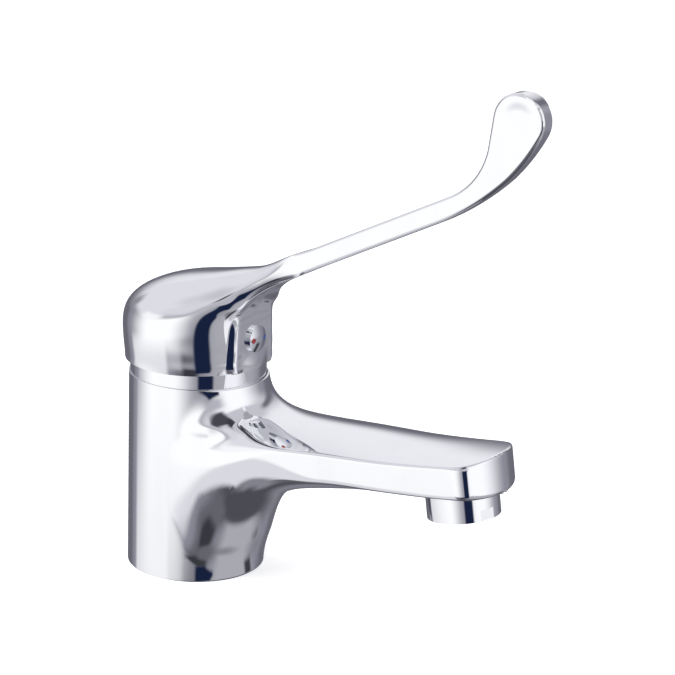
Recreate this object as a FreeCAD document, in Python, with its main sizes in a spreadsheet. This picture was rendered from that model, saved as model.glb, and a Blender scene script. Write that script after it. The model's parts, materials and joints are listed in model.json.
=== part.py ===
import FreeCAD, Part
import math
import os
import Sketcher

# Single-lever basin mixer with a long elbow lever.
# Millimetres, +Z up. The origin is the centre of the round base, on the basin's deck.
# Spout and lever point along +X. The hot side is -Y and the cold side is +Y.

DRIVING = [
    ("base_radius", 25.0, "outer radius of the column"),
    ("column_top", 72.5, "height of the seam between column and bonnet"),
    ("cavity_radius", 21.5, "hollow under the column, for hoses and stud"),
    ("cavity_top", 29.0, "roof of that hollow"),
    ("bore_floor", 44.0, "floor that the cartridge stands on"),
    ("bore_radius", 20.3, "bore round the cartridge"),
    ("thread_radius", 22.0, "bore thread for the retaining nut"),
    ("thread_floor", 63.0, "shelf where that thread starts"),
    ("tip_x", 109.0, "centre of the spout's round tip"),
    ("tip_z", 64.6, "height of the tip's upper edge at its centre"),
    ("tip_radius", 17.9, "radius of the spout's round tip"),
    ("tip_height", 12.2, "wall of the tip along its own axis"),
    ("tip_tilt", 9.0, "degrees that the outlet leans away from the column"),
    ("side_angle", 3.5, "degrees that each spout side tapers"),
    ("neck_fillet", 7.0, "hollow fillet between spout and neck"),
    ("neck_zone", 14.6, "how far below the tip's upper edge that fillet reaches"),
    ("inlet_radius", 4.5, "tapping bore of the M10x1 hose inlets"),
    ("inlet_offset", 8.0, "hose inlets from the middle plane"),
    ("inlet_x", -2.5, "hose inlets along the spout's line"),
    ("stud_radius", 3.4, "tapping bore of the M8 fixing stud"),
    ("stud_x", -15.0, "fixing stud behind the column's axis"),
    ("thread_depth", 11.0, "threads in the underside of the cartridge floor"),
    ("port_x", 9.0, "outlet port of the cartridge"),
    ("port_radius", 3.2, "radius of the outlet port"),
    ("feed_radius", 2.8, "radius of the hot and cold ports"),
    ("channel_radius", 3.6, "water way inside the spout"),
    ("channel_start_z", 35.0, "start of the water way under the outlet port"),
    ("channel_bend_x", 45.0, "bend of the water way"),
    ("channel_bend_z", 47.0, "bend of the water way"),
    ("channel_end_x", 88.0, "end of the round water way"),
    ("channel_end_z", 56.5, "end of the round water way"),
    ("passage_length", 26.0, "flat passage from there to the outlet's axis"),
    ("passage_half", 5.0, "half width of that passage"),
    ("passage_floor", 0.3, "floor of that passage above the aerator's seat"),
    ("chamber_bore", 10.0, "chamber above the aerator"),
    ("chamber_roof", 2.2, "metal over that chamber, below the tip's upper edge"),
    ("spot_radius", 13.6, "flat spot face round the aerator"),
    ("gasket_outer", 24.2, "base gasket"),
    ("gasket_inner", 22.4, "base gasket"),
    ("gasket_height", 1.6, "base gasket"),
    ("fit_gap", 0.1, "clearance between pieces that are pushed or screwed together"),
    ("slide_gap", 0.3, "clearance between pieces that move past each other"),
    ("ring_section", 0.6, "section radius of the two O-rings"),
    ("ring_gap", 0.05, "clearance round the O-rings"),
    ("ring_z", 57.0, "O-ring round the cartridge"),
    ("band_radius", 24.6, "visible band of the bonnet"),
    ("band_top", 77.6, "upper edge of that band"),
    ("shoulder_top", 79.6, "upper end of the bonnet's rounded shoulder"),
    ("shoulder_radius", 24.1, "radius at that end"),
    ("bonnet_crown", 83.4, "inner edge of the bonnet's cone"),
    ("bonnet_gap", 0.4, "opening of the bonnet round the cartridge neck"),
    ("bonnet_wall", 1.65, "upright thickness of the bonnet's cone"),
    ("nut_thread", 6.0, "threaded part of the retaining nut"),
    ("nut_land", 21.0, "round land of the nut that the bonnet pushes over"),
    ("land_height", 5.5, "height of that land"),
    ("slot_half", 3.0, "half width of the spanner slots in the nut"),
    ("slot_depth", 1.5, "depth of those slots"),
    ("housing_shoulder", 66.0, "shoulder that the nut presses on"),
    ("shoulder_wall", 2.0, "thickness of that shoulder"),
    ("neck_radius", 15.0, "neck of the cartridge housing"),
    ("neck_top", 83.9, "top of the cartridge housing"),
    ("collar_radius", 12.0, "swivel collar in the housing neck"),
    ("flange_radius", 14.8, "flange under the swivel collar"),
    ("flange_height", 2.5, "flange under the swivel collar"),
    ("base_height", 5.0, "cartridge base"),
    ("spigot_wall", 0.7, "spigot of the base inside the housing"),
    ("spigot_height", 1.0, "spigot of the base inside the housing"),
    ("seal_height", 1.2, "port seals under the cartridge"),
    ("seal_wall", 1.4, "port seals under the cartridge"),
    ("peg_radius", 2.0, "locating pegs of the cartridge base"),
    ("peg_height", 2.5, "locating pegs of the cartridge base"),
    ("peg_x", 8.0, "locating pegs along the spout's line"),
    ("peg_y", 12.0, "locating pegs from the middle plane"),
    ("disc_height", 4.0, "each ceramic disc"),
    ("moving_radius", 12.0, "moving ceramic disc and its carrier"),
    ("face_gap", 0.05, "between the two lapped disc faces"),
    ("recess_depth", 2.2, "mixing recess under the moving disc"),
    ("recess_half", 4.3, "half width of the recess between the feed ports"),
    ("recess_front", 10.6, "front end of the recess, over the outlet port"),
    ("recess_back", 9.2, "back end of the recess"),
    ("recess_step", 5.6, "front edge of the recess's crossbar, behind the feed ports"),
    ("recess_cross", 6.9, "half width of that crossbar"),
    ("pivot_z", 72.2, "height of the lever's hinge pin"),
    ("pin_radius", 1.5, "hinge pin"),
    ("pin_play", 0.08, "running clearance round the hinge pin"),
    ("stem_width", 8.0, "square stem"),
    ("stem_top", 99.0, "upper end of the stem"),
    ("stem_foot", 5.7, "lower end of the square stem, below the hinge pin"),
    ("arm_radius", 2.2, "ball at the stem's lower end"),
    ("arm_neck", 1.6, "neck between stem and ball"),
    ("arm_reach", 12.4, "ball centre below the hinge pin"),
    ("lift_angle", 25.0, "degrees that the lever lifts from closed to fully open"),
    ("rim_bottom", 77.9, "lower edge of the lever's skirt"),
    ("skirt_bore", 25.4, "bore of the lever's skirt"),
    ("mouth_top", 81.6, "top of the conical mouth of that bore"),
    ("mouth_radius", 23.2, "radius of the mouth at its top"),
    ("hollow_wide_z", 92.0, "height where the hollow of the cap starts to close in"),
    ("hollow_slope_z", 97.0, "height where it closes in further"),
    ("hollow_slope", 21.5, "radius there"),
    ("roof_radius", 15.0, "radius of the hollow's flat roof"),
    ("roof_z", 100.5, "roof of the hollow inside the cap"),
    ("face_x", 24.3, "front face that holds the index plug"),
    ("face_wall", 2.5, "wall behind that face"),
    ("bar_slope", 26.8, "degrees that the lever bar rises"),
    ("bar_height", 7.1, "lever bar, seen from the side"),
    ("bar_width", 6.9, "lever bar and blade across"),
    ("bar_foot_x", 52.0, "start of the plain bar"),
    ("bar_foot_z", 119.65, "start of the plain bar"),
    ("bar_proud", 0.3, "how far the cap's neck stands proud of the bar there"),
    ("neck_half", 4.3, "half width of the cap's neck there"),
    ("bar_run", 51.4, "straight length of the bar's lower face"),
    ("bar_lead", 8.8, "how much longer its upper face is"),
    ("blade_x", 126.5, "centre of the blade's round head"),
    ("blade_z", 181.2, "centre of the blade's round head"),
    ("blade_radius", 9.4, "radius of the blade's round head"),
    ("edge_radius", 1.2, "rounded edges of bar and blade"),
    ("dish_ball", 30.0, "ball radius of the hollow in each face of the blade"),
    ("dish_depth", 0.9, "depth of that hollow"),
    ("boss_radius", 7.5, "boss that grips the stem"),
    ("boss_bottom", 91.2, "lower end of that boss"),
    ("saddle_half", 5.0, "half width of the saddle that holds the grub screw"),
    ("saddle_bottom", 85.3, "lower face of that saddle"),
    ("saddle_top", 97.0, "upper end of that saddle"),
    ("socket_gap", 0.1, "clearance of the stem in its socket"),
    ("plug_z", 88.8, "height of index plug and grub screw"),
    ("plug_radius", 4.9, "head of the index plug"),
    ("plug_seat", 0.7, "how deep the plug's seat is sunk into the front face"),
    ("plug_height", 3.0, "head of the index plug"),
    ("plug_ball", 14.0, "ball radius of the plug's domed head"),
    ("plug_spigot", 3.2, "spigot of the index plug"),
    ("spigot_length", 4.0, "spigot of the index plug"),
    ("mark_radius", 0.9, "hot and cold marks"),
    ("mark_offset", 3.2, "marks from the plug's centre"),
    ("mark_floor", 1.8, "floor of the marks above the plug's seat"),
    ("screw_radius", 2.4, "grub screw"),
    ("screw_length", 10.0, "grub screw"),
    ("key_radius", 1.35, "hexagon socket of the grub screw"),
    ("key_depth", 3.0, "hexagon socket of the grub screw"),
    ("aerator_radius", 12.7, "visible skirt of the aerator"),
    ("aerator_skirt", 9.2, "height of that skirt"),
    ("aerator_thread", 11.9, "threaded neck of the aerator (M24x1)"),
    ("aerator_neck", 4.0, "height of the threaded neck"),
    ("aerator_bore", 10.4, "bore of the aerator housing"),
    ("aerator_lip", 9.4, "lip that holds the jet insert"),
    ("lip_height", 1.2, "lip that holds the jet insert"),
    ("flat_half", 12.4, "wrench flats from the aerator's axis"),
    ("flat_height", 3.8, "wrench flats from its lower edge"),
    ("flat_turn", -20.0, "degrees that the flats are turned from the sides"),
    ("insert_height", 9.0, "jet insert in the aerator"),
    ("jet_radius", 0.9, "jets in the insert"),
    ("jet_pitch", 3.3, "radial pitch of the jets"),
    ("screen_height", 1.0, "strainer above the insert"),
    ("washer_height", 1.6, "sealing washer above the aerator"),
]

doc = FreeCAD.newDocument("basin_mixer")
sheet = doc.addObject("Spreadsheet::Sheet", "sizes")
for row, (alias, value, note) in enumerate(DRIVING, start=1):
    sheet.set(f"A{row}", alias)
    sheet.set(f"B{row}", str(value))
    sheet.setAlias(f"B{row}", alias)
    sheet.set(f"C{row}", note)
doc.recompute()


class Size:
    """A length that knows its value and the sheet expression that it comes from."""

    def __init__(self, value, text):
        self.value = float(value)
        self.text = text

    def joined(self, other, sign, result):
        return Size(result, f"({self.text} {sign} {as_size(other).text})")

    def __add__(self, other):
        return self.joined(other, "+", self.value + as_size(other).value)

    def __sub__(self, other):
        return self.joined(other, "-", self.value - as_size(other).value)

    def __mul__(self, other):
        return self.joined(other, "*", self.value * as_size(other).value)

    def __truediv__(self, other):
        return self.joined(other, "/", self.value / as_size(other).value)

    def __neg__(self):
        return Size(-self.value, f"(0 - {self.text})")


def as_size(number):
    return number if isinstance(number, Size) else Size(number, f"{number}")


def sine(angle):
    return Size(math.sin(math.radians(angle.value)), f"sin({angle.text})")


def cosine(angle):
    return Size(math.cos(math.radians(angle.value)), f"cos({angle.text})")


def root_of(number):
    return Size(math.sqrt(number.value), f"sqrt({number.text})")


def angle_of(run, climb):
    """Degrees from upright of a line that runs and climbs so far."""
    return Size(math.degrees(math.atan2(run.value, climb.value)), f"atan2({run.text}; {climb.text})")


class Names:
    """The driving sizes as attributes, such as s.base_radius."""


s = Names()
for alias, value, note in DRIVING:
    setattr(s, alias, Size(value, f"sizes.{alias}"))

XY, XZ, YZ = "XY_Plane", "XZ_Plane", "YZ_Plane"


def bind(thing, name, length):
    """Sets a property to a size and ties it to the sheet."""
    length = as_size(length)
    if "." not in name:
        setattr(thing, name, length.value)
    thing.setExpression(name, length.text)


def place(thing, x=0, y=0, z=0, axis=None, angle=0):
    """Puts an object at a point, turned about an axis, both tied to the sheet."""
    turn = FreeCAD.Rotation(FreeCAD.Vector(*(axis or (0, 0, 1))), as_size(angle).value)
    corner = FreeCAD.Vector(*(as_size(part).value for part in (x, y, z)))
    thing.Placement = FreeCAD.Placement(corner, turn)
    for letter, part in zip("xyz", (x, y, z)):
        thing.setExpression(f"Placement.Base.{letter}", as_size(part).text)
    if axis:
        thing.setExpression("Placement.Rotation.Angle", as_size(angle).text)
    return thing


def body_named(label):
    body = doc.addObject("PartDesign::Body", label)
    body.Label = label
    return body


def sketch_on(body, name, role, lift=0):
    """A sketch on one of the body's own origin planes, lifted along its normal."""
    plane = next(item for item in body.Origin.OriginFeatures if item.Role == role)
    sketch = body.newObject("Sketcher::SketchObject", name)
    sketch.AttachmentSupport = [(plane, "")]
    sketch.MapMode = "FlatFace"
    sketch.setExpression("AttachmentOffset.Base.z", as_size(lift).text)
    return sketch


def draw_outline(sketch, corners):
    """Closed straight-sided outline whose corners are all tied to the sheet."""
    corners = [(as_size(x), as_size(y)) for x, y in corners]
    first = sketch.GeometryCount
    count = len(corners)
    for here, there in zip(corners, corners[1:] + corners[:1]):
        start = FreeCAD.Vector(here[0].value, here[1].value, 0)
        end = FreeCAD.Vector(there[0].value, there[1].value, 0)
        sketch.addGeometry(Part.LineSegment(start, end), False)
    for i in range(count):
        after = first + (i + 1) % count
        sketch.addConstraint(Sketcher.Constraint("Coincident", first + i, 2, after, 1))
    for i, corner in enumerate(corners):
        for kind, length in zip(("DistanceX", "DistanceY"), corner):
            rule = Sketcher.Constraint(kind, -1, 1, first + i, 1, length.value)
            number = sketch.addConstraint(rule)
            sketch.setExpression(f"Constraints[{number}]", length.text)


def draw_circle(sketch, x, y, radius):
    x, y, radius = as_size(x), as_size(y), as_size(radius)
    centre = FreeCAD.Vector(x.value, y.value, 0)
    ring = sketch.addGeometry(Part.Circle(centre, FreeCAD.Vector(0, 0, 1), radius.value), False)
    for kind, length in (("DistanceX", x), ("DistanceY", y)):
        number = sketch.addConstraint(Sketcher.Constraint(kind, -1, 1, ring, 3, length.value))
        sketch.setExpression(f"Constraints[{number}]", length.text)
    number = sketch.addConstraint(Sketcher.Constraint("Radius", ring, radius.value))
    sketch.setExpression(f"Constraints[{number}]", radius.text)


def turned(body, name, corners):
    """Revolves an outline of (radius, height) corners about the body's Z axis."""
    sketch = sketch_on(body, f"{name}_outline", XZ)
    draw_outline(sketch, corners)
    feature = body.newObject("PartDesign::Revolution", name)
    feature.Profile = sketch
    feature.ReferenceAxis = (sketch, ["V_Axis"])
    feature.Angle = 360
    return feature


def raised(body, name, draw, bottom, height, role=XY):
    """Pads what draw(sketch) draws, from a height upwards."""
    sketch = sketch_on(body, f"{name}_outline", role, bottom)
    draw(sketch)
    feature = body.newObject("PartDesign::Pad", name)
    feature.Profile = sketch
    bind(feature, "Length", height)
    return feature


def sunk(body, name, draw, middle, height, role=XY):
    """Pockets what draw(sketch) draws, evenly to both sides of a plane."""
    sketch = sketch_on(body, f"{name}_outline", role, middle)
    draw(sketch)
    doc.recompute()
    volume = body.Shape.Volume
    feature = body.newObject("PartDesign::Pocket", name)
    feature.Profile = sketch
    feature.SideType = "Symmetric"
    bind(feature, "Length", height)
    doc.recompute()
    if body.Shape.Volume > volume - 1e-3:
        raise ValueError(f"{body.Label}: {name} cuts nothing")
    return feature


def rod(name, radius, height, x=0, y=0, z=0, axis=None, angle=0):
    shape = doc.addObject("Part::Cylinder", name)
    bind(shape, "Radius", radius)
    bind(shape, "Height", height)
    return place(shape, x, y, z, axis, angle)


def block(name, low, high):
    """A box between two corners, each tied to the sheet."""
    shape = doc.addObject("Part::Box", name)
    low = [as_size(part) for part in low]
    high = [as_size(part) for part in high]
    for side, start, end in zip(("Length", "Width", "Height"), low, high):
        bind(shape, side, end - start)
    return place(shape, *low)


def joined(name, *shapes):
    fused = doc.addObject("Part::MultiFuse", name)
    fused.Shapes = list(shapes)
    return fused


def shared(name, *shapes):
    common = doc.addObject("Part::MultiCommon", name)
    common.Shapes = list(shapes)
    return common


def cut(name, base, tool):
    result = doc.addObject("Part::Cut", name)
    result.Base = base
    result.Tool = tool
    result.Label = name
    return result


def feature_of(name, shape):
    feature = doc.addObject("Part::Feature", name)
    feature.Shape = shape
    return feature


def welded(shape):
    """The one solid of a shape, its edges made to meet within a hundredth of a millimetre."""
    copy = shape.copy()
    copy.fix(0.001, 0.001, 0.01)
    return copy.Solids[0]


def ball(name, radius, x=0, y=0, z=0):
    shape = doc.addObject("Part::Sphere", name)
    bind(shape, "Radius", radius)
    return place(shape, x, y, z)


def in_tip(thing, depth):
    """Puts an object on the outlet's leaning axis, so far below the tip's upper edge."""
    lean = s.tip_tilt
    return place(thing, s.tip_x + depth * sine(lean), 0, s.tip_z - depth * cosine(lean), (0, -1, 0), lean)


# Heights and radii that several pieces share

OVERCUT = Size(1.0, "1.0")
base_top = s.bore_floor + s.base_height
fixed_top = base_top + s.disc_height
moving_bottom = fixed_top + s.face_gap
moving_top = moving_bottom + s.disc_height
chamber_top = s.housing_shoulder - s.shoulder_wall
flange_top = chamber_top - s.slide_gap
flange_bottom = flange_top - s.flange_height
carrier_top = flange_bottom - s.slide_gap
housing_radius = s.bore_radius - s.slide_gap
chamber_radius = s.moving_radius + s.arm_reach * sine(s.lift_angle) + s.slide_gap
spigot_outer = chamber_radius - s.fit_gap
spigot_inner = spigot_outer - s.spigot_wall
nut_top = s.housing_shoulder + s.nut_thread + s.land_height
seal_z = s.column_top + s.ring_section + s.ring_gap
ring_groove = s.ring_section + s.ring_gap
seat_depth = s.aerator_neck + s.washer_height
seat_top = s.tip_height - seat_depth
stem_half = s.stem_width / 2
plug_x = s.face_x - s.plug_seat

PORTS = [
    ("hot", s.inlet_x, -s.inlet_offset, s.feed_radius),
    ("cold", s.inlet_x, s.inlet_offset, s.feed_radius),
    ("outlet", s.port_x, Size(0, "0"), s.port_radius),
]


# Chromed body casting: round column and tapering spout

# Crown of the spout: share of the reach, side crease below the tip's upper edge, rise of the crown
CROWN = [
    (0.0, 8.2, 7.4),
    (0.202, 7.7, 6.4),
    (0.394, 6.7, 5.0),
    (0.606, 4.5, 3.4),
    (0.807, 2.7, 2.2),
    (1.0, 0.0, 1.1),
    (1.211, -3.6, 1.1),
]

# Neck under the spout: distance out from the column, share of the tip's height,
# heading in degrees above level, and how much rounder than the column
NECK = [
    (0.0, 0.0, 90.0, 0.0),
    (0.7, 0.077, 80.0, 0.0),
    (3.2, 0.209, 73.0, 0.2),
    (5.8, 0.341, 71.0, 0.6),
    (9.0, 0.444, 56.0, 2.0),
    (14.0, 0.526, 36.0, 4.0),
]

# Belly of the spout: share of the reach, keel below the tip's upper edge, heading and roundness
BELLY = [
    (0.422, 26.8, 20.0, 6.0),
    (0.550, 22.6, 13.5, 10.0),
    (0.752, 17.8, 10.0, 20.0),
    (0.899, 14.6, 9.2, 50.0),
    (1.046, 12.1, 9.0, 85.0),
    (1.211, 9.2, 9.0, 95.0),
]


def column_outside():
    return rod("column_outside", s.base_radius, s.column_top, axis=(0, 0, 1), angle=180)


def spout_plan():
    """The spout from above: two tapering sides that run into the round tip."""
    root = s.tip_radius / cosine(s.side_angle) + s.tip_x * sine(s.side_angle) / cosine(s.side_angle)
    touch_x = s.tip_radius * sine(s.side_angle)
    touch_y = s.tip_radius * cosine(s.side_angle)
    sides = body_named("spout_sides")
    corners = [(-s.tip_x, -root), (touch_x, -touch_y), (touch_x, touch_y), (-s.tip_x, root)]
    raised(sides, "sides", lambda sketch: draw_outline(sketch, corners), -s.tip_z, s.tip_z + s.tip_height)
    in_tip(sides, Size(0, "0"))
    tip = in_tip(rod("spout_tip", s.tip_radius, s.tip_height * 2), s.tip_height)
    return joined("spout_plan", sides, tip)


def spout_half_width(x):
    slope = math.tan(math.radians(s.side_angle.value))
    return s.tip_radius.value / math.cos(math.radians(s.side_angle.value)) + (s.tip_x.value - x) * slope


def crowned_top():
    """Everything below the spout's crowned top: arches across the spout, lofted along it."""
    half = 1.2 * s.base_radius.value
    wires = []
    for share, drop, crown in CROWN:
        x = share * s.tip_x.value
        width = spout_half_width(min(x, s.tip_x.value))
        radius = (width * width + crown * crown) / (2 * crown)
        top = s.tip_z.value - drop + crown
        side = top - radius + math.sqrt(radius * radius - half * half)
        left, right = FreeCAD.Vector(x, -half, side), FreeCAD.Vector(x, half, side)
        low_left, low_right = FreeCAD.Vector(x, -half, 0), FreeCAD.Vector(x, half, 0)
        arch = Part.Arc(left, FreeCAD.Vector(x, 0, top), right).toShape()
        lines = [Part.makeLine(right, low_right), Part.makeLine(low_right, low_left)]
        wires.append(Part.Wire([arch] + lines + [Part.makeLine(low_left, left)]))
    return Part.makeLoft(wires, True, False)


def belly_tube():
    """Everything above the belly: arches square to the belly's middle line, lofted along it."""
    base, reach, tip = s.base_radius.value, s.tip_x.value, s.tip_z.value
    stations = [(base + out, share * tip, heading, base + extra) for out, share, heading, extra in NECK]
    stations += [(share * reach, tip - drop, heading, base + extra) for share, drop, heading, extra in BELLY]
    half = 0.998 * base
    depth = 1.6 * base
    wires = []
    for x, z, heading, radius in stations:
        along = FreeCAD.Vector(math.cos(math.radians(heading)), 0, math.sin(math.radians(heading)))
        inwards = FreeCAD.Vector(-along.z, 0, along.x)
        keel = FreeCAD.Vector(x, 0, z)
        side = keel + inwards * (radius - math.sqrt(radius * radius - half * half))
        left, right = side - FreeCAD.Vector(0, half, 0), side + FreeCAD.Vector(0, half, 0)
        high_left, high_right = left + inwards * depth, right + inwards * depth
        arch = Part.Arc(left, keel, right).toShape()
        lines = [Part.makeLine(right, high_right), Part.makeLine(high_right, high_left)]
        wires.append(Part.Wire([arch] + lines + [Part.makeLine(high_left, left)]))
    return Part.makeLoft(wires, True, False)


def on_neck_seam(edge):
    """True where the spout's top and upper sides meet the column's wall."""
    low, high = s.tip_z.value - s.neck_zone.value, s.column_top.value - 0.1
    points = edge.discretize(9)
    on_wall = all(abs(math.hypot(p.x, p.y) - s.base_radius.value) < 0.02 for p in points)
    return on_wall and all(low < p.z < high for p in points) and max(p.x for p in points) > 10


def body_outside():
    plan = spout_plan()
    column = column_outside()
    doc.recompute()
    spout = plan.Shape.common(crowned_top()).common(belly_tube())
    casting = column.Shape.fuse(spout)
    seam = [edge for edge in casting.Edges if on_neck_seam(edge)]
    return feature_of("body_outside", welded(casting.makeFillet(s.neck_fillet.value, seam)))


def water_way(name, start, end):
    """Round passage between two points of the middle plane."""
    run = end[0] - start[0]
    climb = end[1] - start[1]
    length = root_of(run * run + climb * climb)
    return rod(name, s.channel_radius, length, start[0], 0, start[1], (0, 1, 0), angle_of(run, climb))


def water_ways():
    start = (s.port_x, s.channel_start_z)
    bend = (s.channel_bend_x, s.channel_bend_z)
    end = (s.channel_end_x, s.channel_end_z)
    passage = body_named("flat_passage")
    back, half = s.passage_length, s.passage_half
    corners = [(-back, -half), (0, -half), (0, half), (-back, half)]
    height = seat_top - s.passage_floor - s.chamber_roof
    raised(passage, "passage", lambda sketch: draw_outline(sketch, corners), 0, height)
    in_tip(passage, seat_top - s.passage_floor)
    thread = s.aerator_thread + s.fit_gap
    return [
        rod("outlet_port", s.port_radius, s.bore_floor - s.channel_start_z, s.port_x, 0, s.channel_start_z),
        ball("channel_foot", s.channel_radius, s.port_x, 0, s.channel_start_z),
        water_way("channel_rise", start, bend),
        ball("channel_bend", s.channel_radius, s.channel_bend_x, 0, s.channel_bend_z),
        water_way("channel_run", bend, end),
        ball("channel_end", s.channel_radius, s.channel_end_x, 0, s.channel_end_z),
        passage,
        in_tip(rod("aerator_chamber", s.chamber_bore, seat_top - s.chamber_roof), seat_top),
        in_tip(rod("aerator_seat", thread, seat_depth + OVERCUT), s.tip_height + OVERCUT),
        in_tip(rod("spot_face", s.spot_radius, s.tip_height), s.tip_height * 2),
    ]


def base_hollows():
    """Hollow under the column, with the hose and stud threads in its roof and the gasket's groove."""
    top = s.cavity_top + s.thread_depth
    hollows = [
        rod("hose_cavity", s.cavity_radius, s.cavity_top + OVERCUT, 0, 0, -OVERCUT),
        rod("stud_thread", s.stud_radius, s.thread_depth + OVERCUT, s.stud_x, 0, s.cavity_top - OVERCUT),
    ]
    for side, x, y, radius in PORTS[:2]:
        depth = s.thread_depth + OVERCUT
        hollows.append(rod(f"{side}_thread", s.inlet_radius, depth, x, y, s.cavity_top - OVERCUT))
        hollows.append(rod(f"{side}_port", radius, s.bore_floor - top + OVERCUT * 2, x, y, top - OVERCUT))
    groove = body_named("gasket_groove")
    inner, outer = s.gasket_inner - s.fit_gap, s.gasket_outer + s.fit_gap
    turned(groove, "groove", [(inner, -OVERCUT), (outer, -OVERCUT), (outer, s.gasket_height), (inner, s.gasket_height)])
    return hollows + [groove]


def cartridge_hollows():
    depth = s.column_top - s.bore_floor + OVERCUT
    hollows = [
        rod("cartridge_bore", s.bore_radius, depth, 0, 0, s.bore_floor),
        rod("nut_thread", s.thread_radius, s.column_top - s.thread_floor + OVERCUT, 0, 0, s.thread_floor),
    ]
    deep = s.peg_height + s.fit_gap
    for side in (-1, 1):
        y = s.peg_y * side
        name = f"peg_hole_{side + 1}"
        hollows.append(rod(name, s.peg_radius + s.fit_gap, deep + OVERCUT, s.peg_x, y, s.bore_floor - deep))
    return hollows


def make_body():
    hollows = joined("body_hollows", *base_hollows(), *cartridge_hollows(), *water_ways())
    return cut("body", body_outside(), hollows)


def make_ring(label, inner, outer, bottom, height):
    piece = body_named(label)
    top = bottom + height
    turned(piece, label, [(inner, bottom), (outer, bottom), (outer, top), (inner, top)])
    return piece


def make_base_gasket():
    return make_ring("base_gasket", s.gasket_inner, s.gasket_outer, as_size(0), s.gasket_height)


def make_bonnet():
    """Smooth ring between column and lever: a band, a rounded shoulder and a shallow cone."""
    piece = body_named("bonnet_ring")
    bore = s.nut_land + s.fit_gap
    opening = s.neck_radius + s.bonnet_gap
    fall = (s.bonnet_crown - s.shoulder_top) / (s.shoulder_radius - opening)
    under = s.bonnet_crown - s.bonnet_wall
    corners = [
        (bore, s.column_top),
        (s.band_radius, s.column_top),
        (s.band_radius, s.band_top),
        (s.shoulder_radius, s.shoulder_top),
        (opening, s.bonnet_crown),
        (opening, under),
        (bore, under - fall * (bore - opening)),
    ]
    turned(piece, "ring", corners)
    return piece


def make_seal_ring(label, wall, z):
    """O-ring that reaches just short of a cylindrical wall round it."""
    ring = doc.addObject("Part::Torus", label)
    bind(ring, "Radius1", wall - s.ring_gap - s.ring_section)
    bind(ring, "Radius2", s.ring_section)
    return place(ring, 0, 0, z)


def ring_groove_corners(outer, wall, z):
    """Corners of an O-ring's groove, going up the outside of a turned piece."""
    floor = wall - s.ring_section * 2 - s.ring_gap * 2
    return [(outer, z - ring_groove), (floor, z - ring_groove), (floor, z + ring_groove), (outer, z + ring_groove)]


def make_nut():
    """Retaining nut: threaded foot, land for the bonnet with its O-ring groove, and spanner slots."""
    piece = body_named("retaining_nut")
    bore = s.neck_radius + s.slide_gap
    thread = s.thread_radius - s.fit_gap
    thread_top = s.housing_shoulder + s.nut_thread
    corners = [(bore, s.housing_shoulder), (thread, s.housing_shoulder), (thread, thread_top), (s.nut_land, thread_top)]
    corners += ring_groove_corners(s.nut_land, s.nut_land + s.fit_gap, seal_z)
    corners += [(s.nut_land, nut_top), (bore, nut_top)]
    turned(piece, "nut", corners)
    wide, half = s.thread_radius, s.slot_half
    cross = [
        (-wide, -half), (-half, -half), (-half, -wide), (half, -wide), (half, -half), (wide, -half),
        (wide, half), (half, half), (half, wide), (-half, wide), (-half, half), (-wide, half),
    ]
    sunk(piece, "slots", lambda sketch: draw_outline(sketch, cross), nut_top, s.slot_depth * 2)
    return piece


# Cartridge

def make_housing():
    """Cartridge housing: wide chamber round the discs and a neck that guides the swivel collar."""
    piece = body_named("cartridge_housing")
    bore = s.collar_radius + s.slide_gap
    corners = [(chamber_radius, base_top), (housing_radius, base_top)]
    corners += ring_groove_corners(housing_radius, s.bore_radius, s.ring_z)
    corners += [
        (housing_radius, s.housing_shoulder),
        (s.neck_radius, s.housing_shoulder),
        (s.neck_radius, s.neck_top),
        (bore, s.neck_top),
        (bore, chamber_top),
        (chamber_radius, chamber_top),
    ]
    turned(piece, "housing", corners)
    return piece


def make_cartridge_base():
    """Base plate with two locating pegs, three ports and a recess under each for its seal."""
    piece = body_named("cartridge_base")
    rim = base_top + s.spigot_height
    corners = [
        (0, s.bore_floor),
        (housing_radius, s.bore_floor),
        (housing_radius, base_top),
        (spigot_outer, base_top),
        (spigot_outer, rim),
        (spigot_inner, rim),
        (spigot_inner, base_top),
        (0, base_top),
    ]
    turned(piece, "plate", corners)

    def draw_pegs(sketch):
        for side in (-1, 1):
            draw_circle(sketch, s.peg_x, s.peg_y * side, s.peg_radius)

    raised(piece, "pegs", draw_pegs, s.bore_floor - s.peg_height, s.peg_height + OVERCUT)
    sunk(piece, "ports", draw_ports(as_size(0)), s.bore_floor, s.base_height * 3)
    sunk(piece, "seal_recesses", draw_ports(s.seal_wall + s.fit_gap), s.bore_floor, s.seal_height * 2)
    return piece


def draw_ports(margin):
    """A function that draws the three port circles, wider by a margin."""
    def draw(sketch):
        for _side, x, y, radius in PORTS:
            draw_circle(sketch, x, y, radius + margin)
    return draw


def make_port_seals():
    seals = []
    for side, x, y, radius in PORTS:
        piece = make_ring(f"{side}_seal", radius, radius + s.seal_wall, s.bore_floor, s.seal_height)
        seals.append(place(piece, x, y, 0))
    return seals


def make_fixed_disc():
    piece = body_named("fixed_disc")
    radius = spigot_inner - s.fit_gap
    raised(piece, "disc", lambda sketch: draw_circle(sketch, 0, 0, radius), base_top, s.disc_height)
    sunk(piece, "ports", draw_ports(as_size(0)), base_top, s.disc_height * 3)
    return piece


def make_moving_disc():
    """Ceramic disc whose T-shaped recess joins the feed ports to the outlet once it slides forward."""
    piece = body_named("moving_disc")
    raised(piece, "disc", lambda sketch: draw_circle(sketch, 0, 0, s.moving_radius), moving_bottom, s.disc_height)
    front, back, step = s.recess_front, -s.recess_back, -s.recess_step
    half, cross = s.recess_half, s.recess_cross
    recess = [
        (back, -cross), (step, -cross), (step, -half), (front, -half),
        (front, half), (step, half), (step, cross), (back, cross),
    ]
    sunk(piece, "recess", lambda sketch: draw_outline(sketch, recess), moving_bottom, s.recess_depth * 2)
    return piece


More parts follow.
